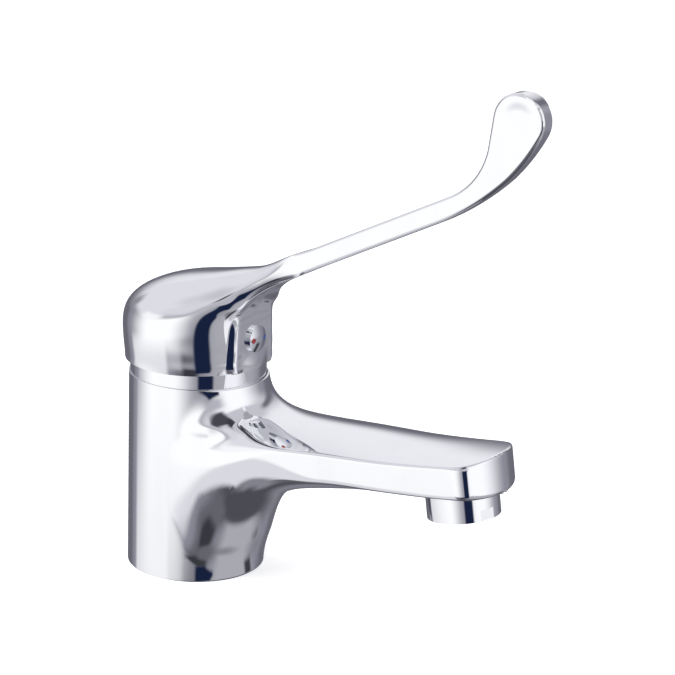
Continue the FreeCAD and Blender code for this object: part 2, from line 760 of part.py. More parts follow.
def make_disc_carrier():
    """Plastic carrier on the moving disc, with the slot that the stem's ball pushes."""
    piece = body_named("disc_carrier")
    height = carrier_top - moving_top
    raised(piece, "carrier", lambda sketch: draw_circle(sketch, 0, 0, s.moving_radius), moving_top, height)
    half = s.arm_radius + s.slide_gap
    slot = [(-half, -half), (half, -half), (half, half), (-half, half)]
    floor = s.pivot_z - s.arm_reach - s.arm_radius - s.slide_gap
    sunk(piece, "slot", lambda sketch: draw_outline(sketch, slot), carrier_top, (carrier_top - floor) * 2)
    return piece


def make_collar():
    """Swivel collar, slotted for the stem's whole tilt and drilled for the hinge pin."""
    piece = body_named("swivel_collar")
    corners = [
        (0, flange_bottom),
        (s.flange_radius, flange_bottom),
        (s.flange_radius, flange_top),
        (s.collar_radius, flange_top),
        (s.collar_radius, s.neck_top),
        (0, s.neck_top),
    ]
    turned(piece, "collar", corners)
    tilt = s.lift_angle
    rise = s.neck_top - s.pivot_z
    back = rise * sine(tilt) / cosine(tilt) + stem_half / cosine(tilt) + s.slide_gap
    front = s.arm_reach * sine(tilt) + s.arm_radius + s.slide_gap
    half = stem_half + s.slide_gap
    slot = [(-back, -half), (front, -half), (front, half), (-back, half)]
    sunk(piece, "slot", lambda sketch: draw_outline(sketch, slot), s.pivot_z, s.neck_top)
    hole = s.pin_radius + s.fit_gap

    def draw_hole(sketch):
        draw_circle(sketch, 0, s.pivot_z, hole)

    sunk(piece, "pin_hole", draw_hole, as_size(0), s.collar_radius * 3, XZ)
    return piece


def make_pin():
    length = (s.collar_radius - s.slide_gap) * 2
    return rod("spindle_pin", s.pin_radius, length, 0, length / 2, s.pivot_z, (1, 0, 0), 90)


def make_spindle():
    """Square stem with a ball at its foot, drilled for the hinge pin."""
    foot = s.pivot_z - s.stem_foot
    centre = s.pivot_z - s.arm_reach
    stem = block("stem", (-stem_half, -stem_half, foot), (stem_half, stem_half, s.stem_top))
    neck = rod("stem_neck", s.arm_neck, s.arm_reach - s.stem_foot + OVERCUT, 0, 0, centre)
    knob = ball("stem_ball", s.arm_radius, 0, 0, centre)
    hole = rod("stem_hole", s.pin_radius + s.pin_play, s.stem_width * 2, 0, s.stem_width, s.pivot_z, (1, 0, 0), 90)
    return cut("spindle", joined("spindle_outside", stem, neck, knob), hole)


# Lever

# Sections of the lever, each in the plane through a lower point and an upper point of the middle
# line and square to it: lower x and z, upper x and z, half width, half width of the flat face at the
# lower point, fullness of the curve, and how far the face bulges out
SECTIONS = [
    (22.6, 77.9, -25.9, 77.9, 25.9, 12.7, 2.0, 3.1),
    (22.8, 79.3, -26.3, 79.3, 26.4, 13.6, 2.0, 2.9),
    (23.0, 82.0, -26.8, 83.0, 26.8, 13.8, 2.0, 2.2),
    (23.4, 85.0, -27.2, 88.0, 27.15, 13.6, 2.0, 1.2),
    (23.7, 88.0, -27.0, 93.5, 27.4, 13.4, 2.0, 0.8),
    (23.9, 91.0, -24.8, 98.7, 27.2, 13.2, 2.05, 0.8),
    (24.2, 94.0, -19.5, 103.2, 26.3, 13.0, 2.1, 0.8),
    (24.6, 96.8, -11.0, 106.8, 24.3, 12.6, 2.1, 0.8),
    (25.3, 99.4, -1.0, 109.2, 21.2, 12.0, 2.1, 0.9),
    (26.2, 102.0, 9.0, 111.3, 17.5, 11.1, 2.1, 0.9),
    (27.8, 104.6, 18.0, 113.4, 13.5, 9.8, 2.1, 0.7),
    (30.6, 107.4, 25.5, 115.3, 10.2, 7.7, 2.1, 0.4),
    (35.6, 110.9, 32.0, 118.0, 7.2, 4.9, 2.2, 0.0),
    (43.0, 114.7, 39.4, 121.8, 5.2, 3.2, 2.6, 0.0),
]
SECTION_STEPS = 10


def lever_section(low_x, low_z, high_x, high_z, width, face, fullness, bulge):
    """A flat or slightly bulging face at the lower point, and a rounded curve over the upper point."""
    low = FreeCAD.Vector(low_x, 0, low_z)
    rise = FreeCAD.Vector(high_x, 0, high_z) - low
    height = rise.Length
    rise.normalize()
    start = math.asin((face / width) ** (fullness / 2))
    half = height / (1 + math.cos(start))
    points = []
    for step in range(-SECTION_STEPS, SECTION_STEPS + 1):
        turn = math.pi - (math.pi - start) * abs(step / SECTION_STEPS) ** (fullness / 2)
        side = math.copysign(width * abs(math.sin(turn)) ** (2 / fullness), step)
        up = height - half - half * math.cos(turn)
        points.append(low + rise * up + FreeCAD.Vector(0, side, 0))
    curve = Part.BSplineCurve()
    curve.interpolate(points)
    right, left = points[-1], points[0]
    if abs(bulge) > 0.01:
        front = Part.Arc(right, low - rise * bulge, left).toShape()
    else:
        front = Part.makeLine(right, left)
    return Part.Wire([curve.toShape(), front])


def bar_directions():
    """Unit vectors along the bar and square to it, in the lever's middle plane."""
    slope = math.radians(s.bar_slope.value)
    return FreeCAD.Vector(math.cos(slope), 0, math.sin(slope)), FreeCAD.Vector(-math.sin(slope), 0, math.cos(slope))


def lever_shell():
    """Cap of the lever, lofted from the skirt's rim to the start of the plain bar, a little proud of it."""
    along, over = bar_directions()
    foot = FreeCAD.Vector(s.bar_foot_x.value, 0, s.bar_foot_z.value)
    proud = s.bar_proud.value
    low = foot - over * proud
    high = foot + over * (s.bar_height.value + proud)
    half = s.neck_half.value
    end = (low.x, low.z, high.x, high.z, half, 0.75 * half, 3.5, 0.0)
    return Part.makeLoft([lever_section(*row) for row in SECTIONS + [end]], True, False)


# Outline of the blade from the centre of its round head
BLADE_UNDER = (-14.8, -30.0)
BLADE_HEEL = (-2.5, -19.6)
BLADE_FRONT = (3.3, -12.5)
BLADE_BACK = (-10.8, -10.4)
BLADE_HOLLOW = (-15.3, -20.7)
HEAD_START, HEAD_MIDDLE, HEAD_END = -30.0, 75.0, 173.0


def bar_and_blade():
    """Side view of bar and blade, as thick as the bar is wide, with rounded edges."""
    centre_x, centre_z, radius = s.blade_x.value, s.blade_z.value, s.blade_radius.value
    thick = s.bar_width.value

    def at(offset):
        return FreeCAD.Vector(centre_x + offset[0], -thick / 2, centre_z + offset[1])

    def on_head(angle):
        turn = math.radians(angle)
        return at((radius * math.cos(turn), radius * math.sin(turn)))

    along, over = bar_directions()
    over = over * s.bar_height.value
    foot = FreeCAD.Vector(s.bar_foot_x.value, -thick / 2, s.bar_foot_z.value)
    low_end = foot + along * s.bar_run.value
    high_end = foot + over + along * (s.bar_run.value + s.bar_lead.value)
    edges = [
        Part.makeLine(foot, low_end),
        Part.Arc(low_end, at(BLADE_UNDER), at(BLADE_HEEL)).toShape(),
        Part.Arc(at(BLADE_HEEL), at(BLADE_FRONT), on_head(HEAD_START)).toShape(),
        Part.Arc(on_head(HEAD_START), on_head(HEAD_MIDDLE), on_head(HEAD_END)).toShape(),
        Part.makeLine(on_head(HEAD_END), at(BLADE_BACK)),
        Part.Arc(at(BLADE_BACK), at(BLADE_HOLLOW), high_end).toShape(),
        Part.makeLine(high_end, foot + over),
        Part.makeLine(foot + over, foot),
    ]
    plate = Part.Face(Part.Wire(edges)).extrude(FreeCAD.Vector(0, thick, 0))
    rims = [edge for edge in plate.Edges if edge.BoundBox.YLength < 1e-6 and edge.BoundBox.XMax > foot.x + 0.01]
    return plate.makeFillet(s.edge_radius.value, rims).Solids[0]


def lever_hollow():
    """Hollow of the cap: a bore that closes in, cut off behind the front face, and a conical mouth."""
    start = s.rim_bottom - OVERCUT
    bore = body_named("cap_bore")
    corners = [
        (0, start),
        (s.skirt_bore, start),
        (s.skirt_bore, s.hollow_wide_z),
        (s.hollow_slope, s.hollow_slope_z),
        (s.roof_radius, s.roof_z),
        (0, s.roof_z),
    ]
    turned(bore, "bore", corners)
    mouth = body_named("cap_mouth")
    rim = [(0, start), (s.skirt_bore, start), (s.skirt_bore, s.rim_bottom), (s.mouth_radius, s.mouth_top), (0, s.mouth_top)]
    turned(mouth, "mouth", rim)
    wide = s.skirt_bore + OVERCUT
    behind = block("behind_face", (-wide, -wide, start), (s.face_x - s.face_wall, wide, s.roof_z + OVERCUT))
    hollow = joined("cap_hollow", shared("cap_chamber", bore, behind), mouth)
    boss = rod("stem_boss", s.boss_radius, s.roof_z - s.boss_bottom + OVERCUT, 0, 0, s.boss_bottom)
    inner = stem_half + s.socket_gap
    low = (inner, -s.saddle_half, s.saddle_bottom)
    saddle = block("screw_saddle", low, (s.face_x, s.saddle_half, s.saddle_top))
    return cut("lever_hollow", hollow, joined("stem_grip", boss, saddle))


def along_x(name, radius, start, length, y=0):
    """A rod that points forward at the height of the plug."""
    return rod(name, radius, length, start, y, s.plug_z, (0, 1, 0), 90)


def make_lever():
    outside = feature_of("lever_outside", lever_shell().fuse(bar_and_blade()).Solids[0])
    inner = stem_half + s.socket_gap
    sink = s.bar_width / 2 + s.dish_ball - s.dish_depth
    holes = [
        lever_hollow(),
        block("stem_socket", (-inner, -inner, s.saddle_bottom - OVERCUT), (inner, inner, s.stem_top + s.socket_gap)),
        along_x("screw_thread", s.screw_radius + s.fit_gap, as_size(0), plug_x),
        along_x("plug_bore", s.plug_spigot + s.fit_gap, plug_x - s.spigot_length - s.fit_gap, s.spigot_length + OVERCUT),
        along_x("plug_spot", s.plug_radius + s.fit_gap, plug_x, s.plug_height * 4),
        ball("left_dish", s.dish_ball, s.blade_x, -sink, s.blade_z),
        ball("right_dish", s.dish_ball, s.blade_x, sink, s.blade_z),
    ]
    return cut("lever", outside, joined("lever_holes", *holes))


def make_grub_screw():
    start = stem_half + s.socket_gap / 2
    screw = along_x("screw_body", s.screw_radius, start, s.screw_length)
    key = doc.addObject("Part::Prism", "screw_key")
    key.Polygon = 6
    bind(key, "Circumradius", s.key_radius)
    bind(key, "Height", s.key_depth + OVERCUT)
    place(key, start + s.screw_length - s.key_depth, 0, s.plug_z, (0, 1, 0), 90)
    return cut("grub_screw", screw, key)


def plug_dome(name):
    """Ball that gives the plug's head its dome."""
    return ball(name, s.plug_ball, plug_x + s.plug_height - s.plug_ball, 0, s.plug_z)


def make_plug():
    head = shared("plug_head", along_x("plug_disc", s.plug_radius, plug_x, s.plug_height), plug_dome("plug_dome"))
    spigot = along_x("plug_stalk", s.plug_spigot, plug_x - s.spigot_length, s.spigot_length)
    start = plug_x + s.mark_floor
    marks = []
    pockets = []
    for label, side in (("hot_mark", -1), ("cold_mark", 1)):
        y = s.mark_offset * side
        pockets.append(along_x(f"{label}_pocket", s.mark_radius + s.ring_gap, start, s.plug_height, y))
        stick = along_x(f"{label}_stick", s.mark_radius, start, s.plug_height, y)
        mark = shared(label, stick, plug_dome(f"{label}_dome"))
        marks.append(mark)
    plug = cut("index_plug", joined("plug_outside", head, spigot), joined("mark_pockets", *pockets))
    return [plug] + marks


# Aerator, on the outlet's leaning axis

def make_aerator_housing():
    """Chromed sleeve: visible skirt with two wrench flats, threaded neck and a lip at its foot."""
    piece = body_named("aerator_housing")
    top = s.aerator_skirt + s.aerator_neck
    corners = [
        (s.aerator_lip, 0),
        (s.aerator_radius, 0),
        (s.aerator_radius, s.aerator_skirt),
        (s.aerator_thread, s.aerator_skirt),
        (s.aerator_thread, top),
        (s.aerator_bore, top),
        (s.aerator_bore, s.lip_height),
        (s.aerator_lip, s.lip_height),
    ]
    turned(piece, "sleeve", corners)
    out = (cosine(s.flat_turn), sine(s.flat_turn))

    def corner(away, aside, side):
        return ((out[0] * away - out[1] * aside) * side, (out[1] * away + out[0] * aside) * side)

    def draw_flats(sketch):
        near, far, wide = s.flat_half, s.aerator_radius + OVERCUT, s.aerator_radius
        for side in (-1, 1):
            rectangle = [(near, -wide), (far, -wide), (far, wide), (near, wide)]
            draw_outline(sketch, [corner(away, aside, side) for away, aside in rectangle])

    sunk(piece, "flats", draw_flats, as_size(0), s.flat_height * 2)
    return in_tip(piece, s.tip_height + s.aerator_skirt)


def make_insert():
    """Jet insert with a centre jet and two rings of jets."""
    piece = body_named("aerator_insert")
    radius = s.aerator_bore - s.fit_gap
    raised(piece, "insert", lambda sketch: draw_circle(sketch, 0, 0, radius), s.lip_height, s.insert_height)

    def draw_jets(sketch):
        for ring, count in enumerate((1, 6, 12)):
            for number in range(count):
                turn = Size(360 * number / count, f"{360 * number / count}")
                out = s.jet_pitch * ring
                draw_circle(sketch, out * cosine(turn), out * sine(turn), s.jet_radius)

    sunk(piece, "jets", draw_jets, s.lip_height, s.insert_height * 3)
    return in_tip(piece, s.tip_height + s.aerator_skirt)


def make_screen():
    radius = s.aerator_bore - s.fit_gap
    disc = rod("aerator_screen", radius, s.screen_height)
    return in_tip(disc, s.tip_height + s.aerator_skirt - s.lip_height - s.insert_height)


def make_washer():
    washer = make_ring("aerator_washer", s.chamber_bore, s.aerator_thread, as_size(0), s.washer_height)
    return in_tip(washer, seat_top + s.washer_height)


pieces = [
    make_body(),
    make_base_gasket(),
    make_bonnet(),
    make_seal_ring("bonnet_seal", s.nut_land + s.fit_gap, seal_z),
    make_nut(),
    make_housing(),
    make_seal_ring("housing_seal", s.bore_radius, s.ring_z),
    make_cartridge_base(),
    *make_port_seals(),
    make_fixed_disc(),
    make_moving_disc(),
    make_disc_carrier(),
    make_collar(),
    make_pin(),
    make_spindle(),
    make_lever(),
    make_grub_screw(),
    *make_plug(),
    make_aerator_housing(),
    make_insert(),
    make_screen(),
    make_washer(),
]
doc.recompute()

for thing in doc.Objects:
    if "Invalid" in thing.State or "Error" in thing.State:
        raise RuntimeError(f"{thing.Label} failed: {thing.State}")
for piece in pieces:
    if piece.Shape.isNull() or not piece.Shape.isValid() or len(piece.Shape.Solids) != 1:
        raise RuntimeError(f"{piece.Label} is no valid single solid: {piece.Shape.ShapeType}, {len(piece.Shape.Solids)}")

os.makedirs("parts", exist_ok=True)
for piece in pieces:
    piece.Shape.exportStep(f"parts/{piece.Label}.step")
    print(f"{piece.Label}: {piece.Shape.Volume / 1000:.2f} cm3")
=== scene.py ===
# %% [markdown]
# # A single-lever basin mixer with a long elbow lever
# The CAD model gives every piece its place and size. This lesson dresses it: polished chrome
# outside, brass, ceramic, rubber and plastic inside, and a small photo studio round it.

# %% Load the fixed frame
import json
import math
import bmesh
import bpy
import numpy as np
from mathutils import Matrix, Vector


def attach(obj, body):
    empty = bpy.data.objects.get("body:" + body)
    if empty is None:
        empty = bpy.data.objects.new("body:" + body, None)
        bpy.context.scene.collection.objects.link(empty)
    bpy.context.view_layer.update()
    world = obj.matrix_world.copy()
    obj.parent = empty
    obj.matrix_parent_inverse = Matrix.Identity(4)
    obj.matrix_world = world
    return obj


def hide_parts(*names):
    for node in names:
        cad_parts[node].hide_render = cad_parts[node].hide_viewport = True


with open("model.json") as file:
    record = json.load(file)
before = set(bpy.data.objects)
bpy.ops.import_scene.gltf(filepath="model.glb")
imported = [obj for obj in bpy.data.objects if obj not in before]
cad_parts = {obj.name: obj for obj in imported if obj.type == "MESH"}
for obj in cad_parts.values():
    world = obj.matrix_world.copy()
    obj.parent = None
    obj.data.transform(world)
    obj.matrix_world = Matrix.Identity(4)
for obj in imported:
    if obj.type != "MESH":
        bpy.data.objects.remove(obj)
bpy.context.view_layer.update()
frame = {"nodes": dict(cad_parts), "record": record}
nodes = frame["nodes"]
MM = 0.001

# %% [markdown]
# ## The camera
# A long lens from a little above gives the calm perspective of a product picture. The camera
# looks at a point inside the mixer from a distance, an azimuth and a height, and leans by a
# small roll. Working out the three axes by hand shows what a "track to" constraint would do.

# %% Camera
DISTANCE = 850 * MM
AZIMUTH, HEIGHT_ANGLE, ROLL = math.radians(32.5), math.radians(16.9712), math.radians(-1.8863)
AIM_ACROSS, AIM_UP = 49.7254 * MM, 86.0522 * MM
FOCAL = 126.231
across = Vector((math.cos(AZIMUTH), math.sin(AZIMUTH), 0))
back = Vector((math.sin(AZIMUTH) * math.cos(HEIGHT_ANGLE),
               -math.cos(AZIMUTH) * math.cos(HEIGHT_ANGLE), math.sin(HEIGHT_ANGLE)))
upward = back.cross(across)
camera_x = across * math.cos(ROLL) - upward * math.sin(ROLL)
camera_y = across * math.sin(ROLL) + upward * math.cos(ROLL)
camera = bpy.data.objects.new("camera", bpy.data.cameras.new("camera"))
bpy.context.scene.collection.objects.link(camera)
camera.data.lens = FOCAL
camera.data.sensor_width = 36
camera.data.clip_start, camera.data.clip_end = 0.01, 50
place = across * AIM_ACROSS + Vector((0, 0, AIM_UP)) + back * DISTANCE
turn = Matrix((camera_x, camera_y, back)).transposed().to_4x4()
camera.matrix_world = Matrix.Translation(place) @ turn
bpy.context.scene.camera = camera
bpy.context.scene.view_settings.view_transform = "Standard"
print("camera stands at", tuple(round(v, 4) for v in place))

# %% [markdown]
# ## The studio
# Chrome has hardly a colour of its own: it shows what stands round it. A light tent gives the
# pale surfaces, a big soft box beside the camera the white ones, and the opening that the
# camera looks through is the dark blue stripe. Here the world is that tent: its colour is
# worked out from the direction alone, so one tree paints the whole surroundings.

# %% Helpers for node trees
def add(tree, kind, **settings):
    """One new node in a tree; settings are its properties, or its inputs by name."""
    node = tree.nodes.new(kind)
    for key, value in settings.items():
        if hasattr(node, key):
            setattr(node, key, value)
        else:
            node.inputs[key.replace("_", " ")].default_value = value
    return node


def wire(tree, source, target):
    """Joins an output socket to an input socket."""
    tree.links.new(source, target)


def calculate(tree, operation, first, second=None):
    """A Math node on sockets or plain numbers; returns its output."""
    node = add(tree, "ShaderNodeMath", operation=operation)
    for slot_number, value in enumerate((first, second)):
        if value is None:
            continue
        if isinstance(value, (int, float)):
            node.inputs[slot_number].default_value = value
        else:
            wire(tree, value, node.inputs[slot_number])
    return node.outputs[0]


def ramp(tree, value, low, high, start=0.0, end=1.0):
    """Smooth step: start below low, end above high."""
    node = add(tree, "ShaderNodeMapRange", interpolation_type="SMOOTHSTEP")
    wire(tree, value, node.inputs["Value"])
    for name, number in zip(("From Min", "From Max", "To Min", "To Max"), (low, high, start, end)):
        node.inputs[name].default_value = number
    return node.outputs[0]


def blend_colour(tree, share, first, second):
    """Mixes two colours by a share; each colour is a socket or three numbers."""
    node = add(tree, "ShaderNodeMix", data_type="RGBA")
    if isinstance(share, (int, float)):
        node.inputs[0].default_value = share
    else:
        wire(tree, share, node.inputs[0])
    for slot_number, value in ((6, first), (7, second)):
        if isinstance(value, tuple):
            node.inputs[slot_number].default_value = (*value, 1)
        else:
            wire(tree, value, node.inputs[slot_number])
    return node.outputs[2]


# %% The light tent
# Each panel: middle azimuth and height in degrees, half sizes, softness of its
# edge sideways and upright, colour; a later panel hangs in front of the earlier ones
PANELS = [
    ("pale sheet at the back", 175, 38, 60, 22, 12, 8, (0.80, 0.80, 0.85)),
    ("window at the back", 120, 28, 18, 20, 14, 10, (0.92, 0.92, 0.95)),
    ("right wall", 357, 18, 36, 32, 28, 6, (1.10, 1.10, 1.12)),
    ("left sheet over the table", 222, -43, 36, 24, 5, 4, (0.78, 0.78, 0.82)),
    ("right sheet over the table", 11, -34, 43, 18, 20, 4, (0.44, 0.44, 0.48)),
    ("left soft box", 244, -3, 42, 21, 24, 6, (1.12, 1.12, 1.12)),
    ("top of the left soft box", 222, 20, 14, 8, 8, 6, (1.05, 1.05, 1.06)),
    ("dark card far right", 80, 10, 10, 40, 8, 8, (0.17, 0.17, 0.20)),
    ("dark card far left", 165, 0, 8, 25, 6, 8, (0.30, 0.30, 0.34)),
    ("dark wall behind", 128, -16, 44, 20, 8, 8, (0.15, 0.15, 0.18)),
    ("gap over the table", 290, -44, 20, 14, 8, 5, (0.14, 0.14, 0.165)),
    # painted shadow: a dark patch on the table where the camera stand's shadow falls
    ("shadow of the camera stand", 296, -33, 12, 9, 6, 4, (0.045, 0.045, 0.055)),
    ("dark gap overhead", 303, 60, 22, 22, 6, 5, (0.07, 0.07, 0.085)),
    ("far end of that gap", 285, 80, 40, 10, 10, 6, (0.05, 0.05, 0.06)),
    ("shadow under the spout", 50, -31, 8, 9, 4, 4, (0.05, 0.05, 0.06)),
    ("fill over the camera", 310, 18, 22, 10, 10, 6, (0.50, 0.50, 0.55)),
    ("low sheet at the back", 200, -72, 60, 8, 20, 6, (0.25, 0.25, 0.29)),
    ("high left sheet", 250, 45, 25, 14, 10, 8, (0.75, 0.75, 0.80)),
    ("camera opening", 318, -16, 13, 19, 3, 3, (0.010, 0.017, 0.05)),
]
world = bpy.data.worlds.new("light_tent")
bpy.context.scene.world = world
world.use_nodes = True
tree = world.node_tree
tree.nodes.clear()
direction = add(tree, "ShaderNodeTexCoord").outputs["Generated"]
split = add(tree, "ShaderNodeSeparateXYZ")
wire(tree, direction, split.inputs[0])
TO_DEGREES = 180 / math.pi
height = calculate(tree, "MULTIPLY", calculate(tree, "ARCSINE", split.outputs[2]), TO_DEGREES)
bearing = calculate(tree, "ARCTAN2", split.outputs[1], split.outputs[0])
around = calculate(tree, "MULTIPLY", bearing, TO_DEGREES)


def panel_mask(middle, level, half_width, half_height, soft, soft_up):
    """A soft-edged box in azimuth and height, both in degrees; azimuth wraps round."""
    offset = calculate(tree, "SUBTRACT", around, middle)
    wrapped = calculate(tree, "WRAP", offset, 180.0)
    wrapped.node.inputs[2].default_value = -180.0
    sideways = ramp(tree, calculate(tree, "ABSOLUTE", wrapped), half_width - soft, half_width + soft, 1, 0)
    vertical = calculate(tree, "ABSOLUTE", calculate(tree, "SUBTRACT", height, level))
    upright = ramp(tree, vertical, half_height - soft_up, half_height + soft_up, 1, 0)
    return calculate(tree, "MULTIPLY", sideways, upright)


tent = blend_colour(tree, ramp(tree, height, -60, -30), (0.08, 0.08, 0.095), (0.28, 0.28, 0.33))
tent = blend_colour(tree, ramp(tree, height, 5, 35), tent, (0.60, 0.60, 0.65))
for _label, *measures, colour in PANELS:
    tent = blend_colour(tree, panel_mask(*measures), tent, colour)
seen = add(tree, "ShaderNodeBackground", Color=(1, 1, 1, 1))
mirrored = add(tree, "ShaderNodeBackground")
wire(tree, tent, mirrored.inputs["Color"])
soft_fill = add(tree, "ShaderNodeBackground", Color=(0.9, 0.9, 0.93, 1), Strength=0.45)
paths = add(tree, "ShaderNodeLightPath")
glossy_or_not = add(tree, "ShaderNodeMixShader")
wire(tree, paths.outputs["Is Glossy Ray"], glossy_or_not.inputs[0])
wire(tree, soft_fill.outputs[0], glossy_or_not.inputs[1])
wire(tree, mirrored.outputs[0], glossy_or_not.inputs[2])
camera_or_not = add(tree, "ShaderNodeMixShader")
wire(tree, paths.outputs["Is Camera Ray"], camera_or_not.inputs[0])
wire(tree, glossy_or_not.outputs[0], camera_or_not.inputs[1])
wire(tree, seen.outputs[0], camera_or_not.inputs[2])
wire(tree, camera_or_not.outputs[0], add(tree, "ShaderNodeOutputWorld").inputs[0])
print("panels in the tent:", len(PANELS))

# %% [markdown]
# ## Lamps and floor
# Two broad lamps give the floor its faint shadow. Chrome would show them as hard rectangles,
# so they are hidden from mirror rays. The floor is white for the camera, keeps the shadow, and
# lets mirror rays pass, because in the metal the tent already shows the table.

# %% Lamps
def soft_lamp(name, stand, watts, size):
    """A square area lamp that points at the mixer's middle."""
    lamp = bpy.data.objects.new(name, bpy.data.lights.new(name, "AREA"))
    bpy.context.scene.collection.objects.link(lamp)
    lamp.data.energy, lamp.data.size = watts, size
    lamp.location = stand
    lamp.rotation_euler = (Vector(stand) - Vector((0.04, 0, 0.08))).to_track_quat("Z", "Y").to_euler()
    lamp.visible_glossy = False
    return lamp


soft_lamp("lamp_left", (-0.5, -0.9, 0.9), 9, 0.8)
soft_lamp("lamp_over", (0.2, 0.1, 1.3), 8, 1.0)

# %% Floor
floor_mesh = bpy.data.meshes.new("floor")
side = 6.0
floor_corners = [(-side, -side, 0), (side, -side, 0), (side, side, 0), (-side, side, 0)]
floor_mesh.from_pydata(floor_corners, [], [(0, 1, 2, 3)])
floor = bpy.data.objects.new("floor", floor_mesh)
bpy.context.scene.collection.objects.link(floor)
floor_paint = bpy.data.materials.new("floor_paint")
floor_paint.use_nodes = True
tree = floor_paint.node_tree
tree.nodes.clear()
paths = add(tree, "ShaderNodeLightPath")
matt = add(tree, "ShaderNodeBsdfDiffuse", Color=(0.86, 0.86, 0.87, 1))
glow = add(tree, "ShaderNodeEmission", Color=(1, 1, 1, 1), Strength=0.55)
lifted = add(tree, "ShaderNodeAddShader")
wire(tree, matt.outputs[0], lifted.inputs[0])
wire(tree, glow.outputs[0], lifted.inputs[1])
for_camera = add(tree, "ShaderNodeMixShader")
wire(tree, paths.outputs["Is Camera Ray"], for_camera.inputs[0])
wire(tree, matt.outputs[0], for_camera.inputs[1])
wire(tree, lifted.outputs[0], for_camera.inputs[2])
for_mirror = add(tree, "ShaderNodeMixShader")
wire(tree, paths.outputs["Is Glossy Ray"], for_mirror.inputs[0])
wire(tree, for_camera.outputs[0], for_mirror.inputs[1])
wire(tree, add(tree, "ShaderNodeBsdfTransparent").outputs[0], for_mirror.inputs[2])
wire(tree, for_mirror.outputs[0], add(tree, "ShaderNodeOutputMaterial").inputs[0])
floor_mesh.materials.append(floor_paint)

# %% [markdown]
# ## Surface effects as node groups
# Real plating is never perfectly even. A polished casting keeps a slight waviness, and a wiped
# surface has faint streaks that only change how sharp a reflection is. Turned metal has fine
# rings. Each effect is one group, built once and placed in each material with its own numbers.

# %% Group: polish
def new_group(name, inputs, outputs):
    """An empty shader group with its sockets; returns it with its input and output nodes."""
    group = bpy.data.node_groups.new(name, "ShaderNodeTree")
    for label, default in inputs:
        socket = group.interface.new_socket(label, in_out="INPUT", socket_type="NodeSocketFloat")
        socket.default_value = default
    for label, kind in outputs:
        group.interface.new_socket(label, in_out="OUTPUT", socket_type=kind)
    return group, group.nodes.new("NodeGroupInput").outputs, group.nodes.new("NodeGroupOutput").inputs


polish, given, result = new_group(
    "polish",
    [("Wave Size", 60.0), ("Wave Depth", 0.02), ("Smooth", 0.03), ("Streaked", 0.09)],
    [("Roughness", "NodeSocketFloat"), ("Normal", "NodeSocketVector"), ("Wear", "NodeSocketFloat")],
)
where = add(polish, "ShaderNodeTexCoord").outputs["Object"]
waves = add(polish, "ShaderNodeTexNoise", Detail=2.0)
wire(polish, where, waves.inputs["Vector"])
wire(polish, given["Wave Size"], waves.inputs["Scale"])
dent = add(polish, "ShaderNodeBump", Distance=0.0004)
wire(polish, waves.outputs[0], dent.inputs["Height"])
wire(polish, given["Wave Depth"], dent.inputs["Strength"])
wire(polish, dent.outputs[0], result["Normal"])
stretched = add(polish, "ShaderNodeMapping", Scale=(1.0, 1.0, 0.25))
wire(polish, where, stretched.inputs["Vector"])
streaks = add(polish, "ShaderNodeTexNoise", Scale=95.0, Detail=6.0)
wire(polish, stretched.outputs[0], streaks.inputs["Vector"])
mask = ramp(polish, streaks.outputs[0], 0.42, 0.78)
gain = calculate(polish, "SUBTRACT", given["Streaked"], given["Smooth"])
level = calculate(polish, "MULTIPLY", mask, gain)
wire(polish, calculate(polish, "ADD", level, given["Smooth"]), result["Roughness"])
wire(polish, mask, result["Wear"])

# %% Group: turned
turned, given, result = new_group(
    "turned",
    [("Rings", 900.0), ("Depth", 0.15), ("Fine", 0.22), ("Coarse", 0.38)],
    [("Roughness", "NodeSocketFloat"), ("Normal", "NodeSocketVector"), ("Shade", "NodeSocketFloat")],
)
where = add(turned, "ShaderNodeTexCoord").outputs["Object"]
rings = add(turned, "ShaderNodeTexWave", wave_type="BANDS", bands_direction="Z", Distortion=1.5, Detail=3.0)
wire(turned, where, rings.inputs["Vector"])
wire(turned, given["Rings"], rings.inputs["Scale"])
grooves = add(turned, "ShaderNodeBump", Distance=0.00005)
wire(turned, rings.outputs["Fac"], grooves.inputs["Height"])
wire(turned, given["Depth"], grooves.inputs["Strength"])
wire(turned, grooves.outputs[0], result["Normal"])
patches = add(turned, "ShaderNodeTexNoise", Scale=220.0, Detail=4.0)
wire(turned, where, patches.inputs["Vector"])
gain = calculate(turned, "SUBTRACT", given["Coarse"], given["Fine"])
spread = calculate(turned, "MULTIPLY", patches.outputs[0], gain)
wire(turned, calculate(turned, "ADD", spread, given["Fine"]), result["Roughness"])
wire(turned, ramp(turned, patches.outputs[0], 0.35, 0.7), result["Shade"])

# %% Group: moulded
moulded, given, result = new_group(
    "moulded",
    [("Grain", 1500.0), ("Depth", 0.2), ("Low", 0.35), ("High", 0.55)],
    [("Roughness", "NodeSocketFloat"), ("Normal", "NodeSocketVector"), ("Shade", "NodeSocketFloat")],
)
where = add(moulded, "ShaderNodeTexCoord").outputs["Object"]
grain = add(moulded, "ShaderNodeTexNoise", Detail=5.0)
wire(moulded, where, grain.inputs["Vector"])
wire(moulded, given["Grain"], grain.inputs["Scale"])
pores = add(moulded, "ShaderNodeBump", Distance=0.00004)
wire(moulded, grain.outputs[0], pores.inputs["Height"])
wire(moulded, given["Depth"], pores.inputs["Strength"])
wire(moulded, pores.outputs[0], result["Normal"])
flow = add(moulded, "ShaderNodeTexNoise", Scale=70.0, Detail=3.0)
wire(moulded, where, flow.inputs["Vector"])
gain = calculate(moulded, "SUBTRACT", given["High"], given["Low"])
spread = calculate(moulded, "MULTIPLY", flow.outputs[0], gain)
wire(moulded, calculate(moulded, "ADD", spread, given["Low"]), result["Roughness"])
wire(moulded, ramp(moulded, flow.outputs[0], 0.3, 0.7), result["Shade"])
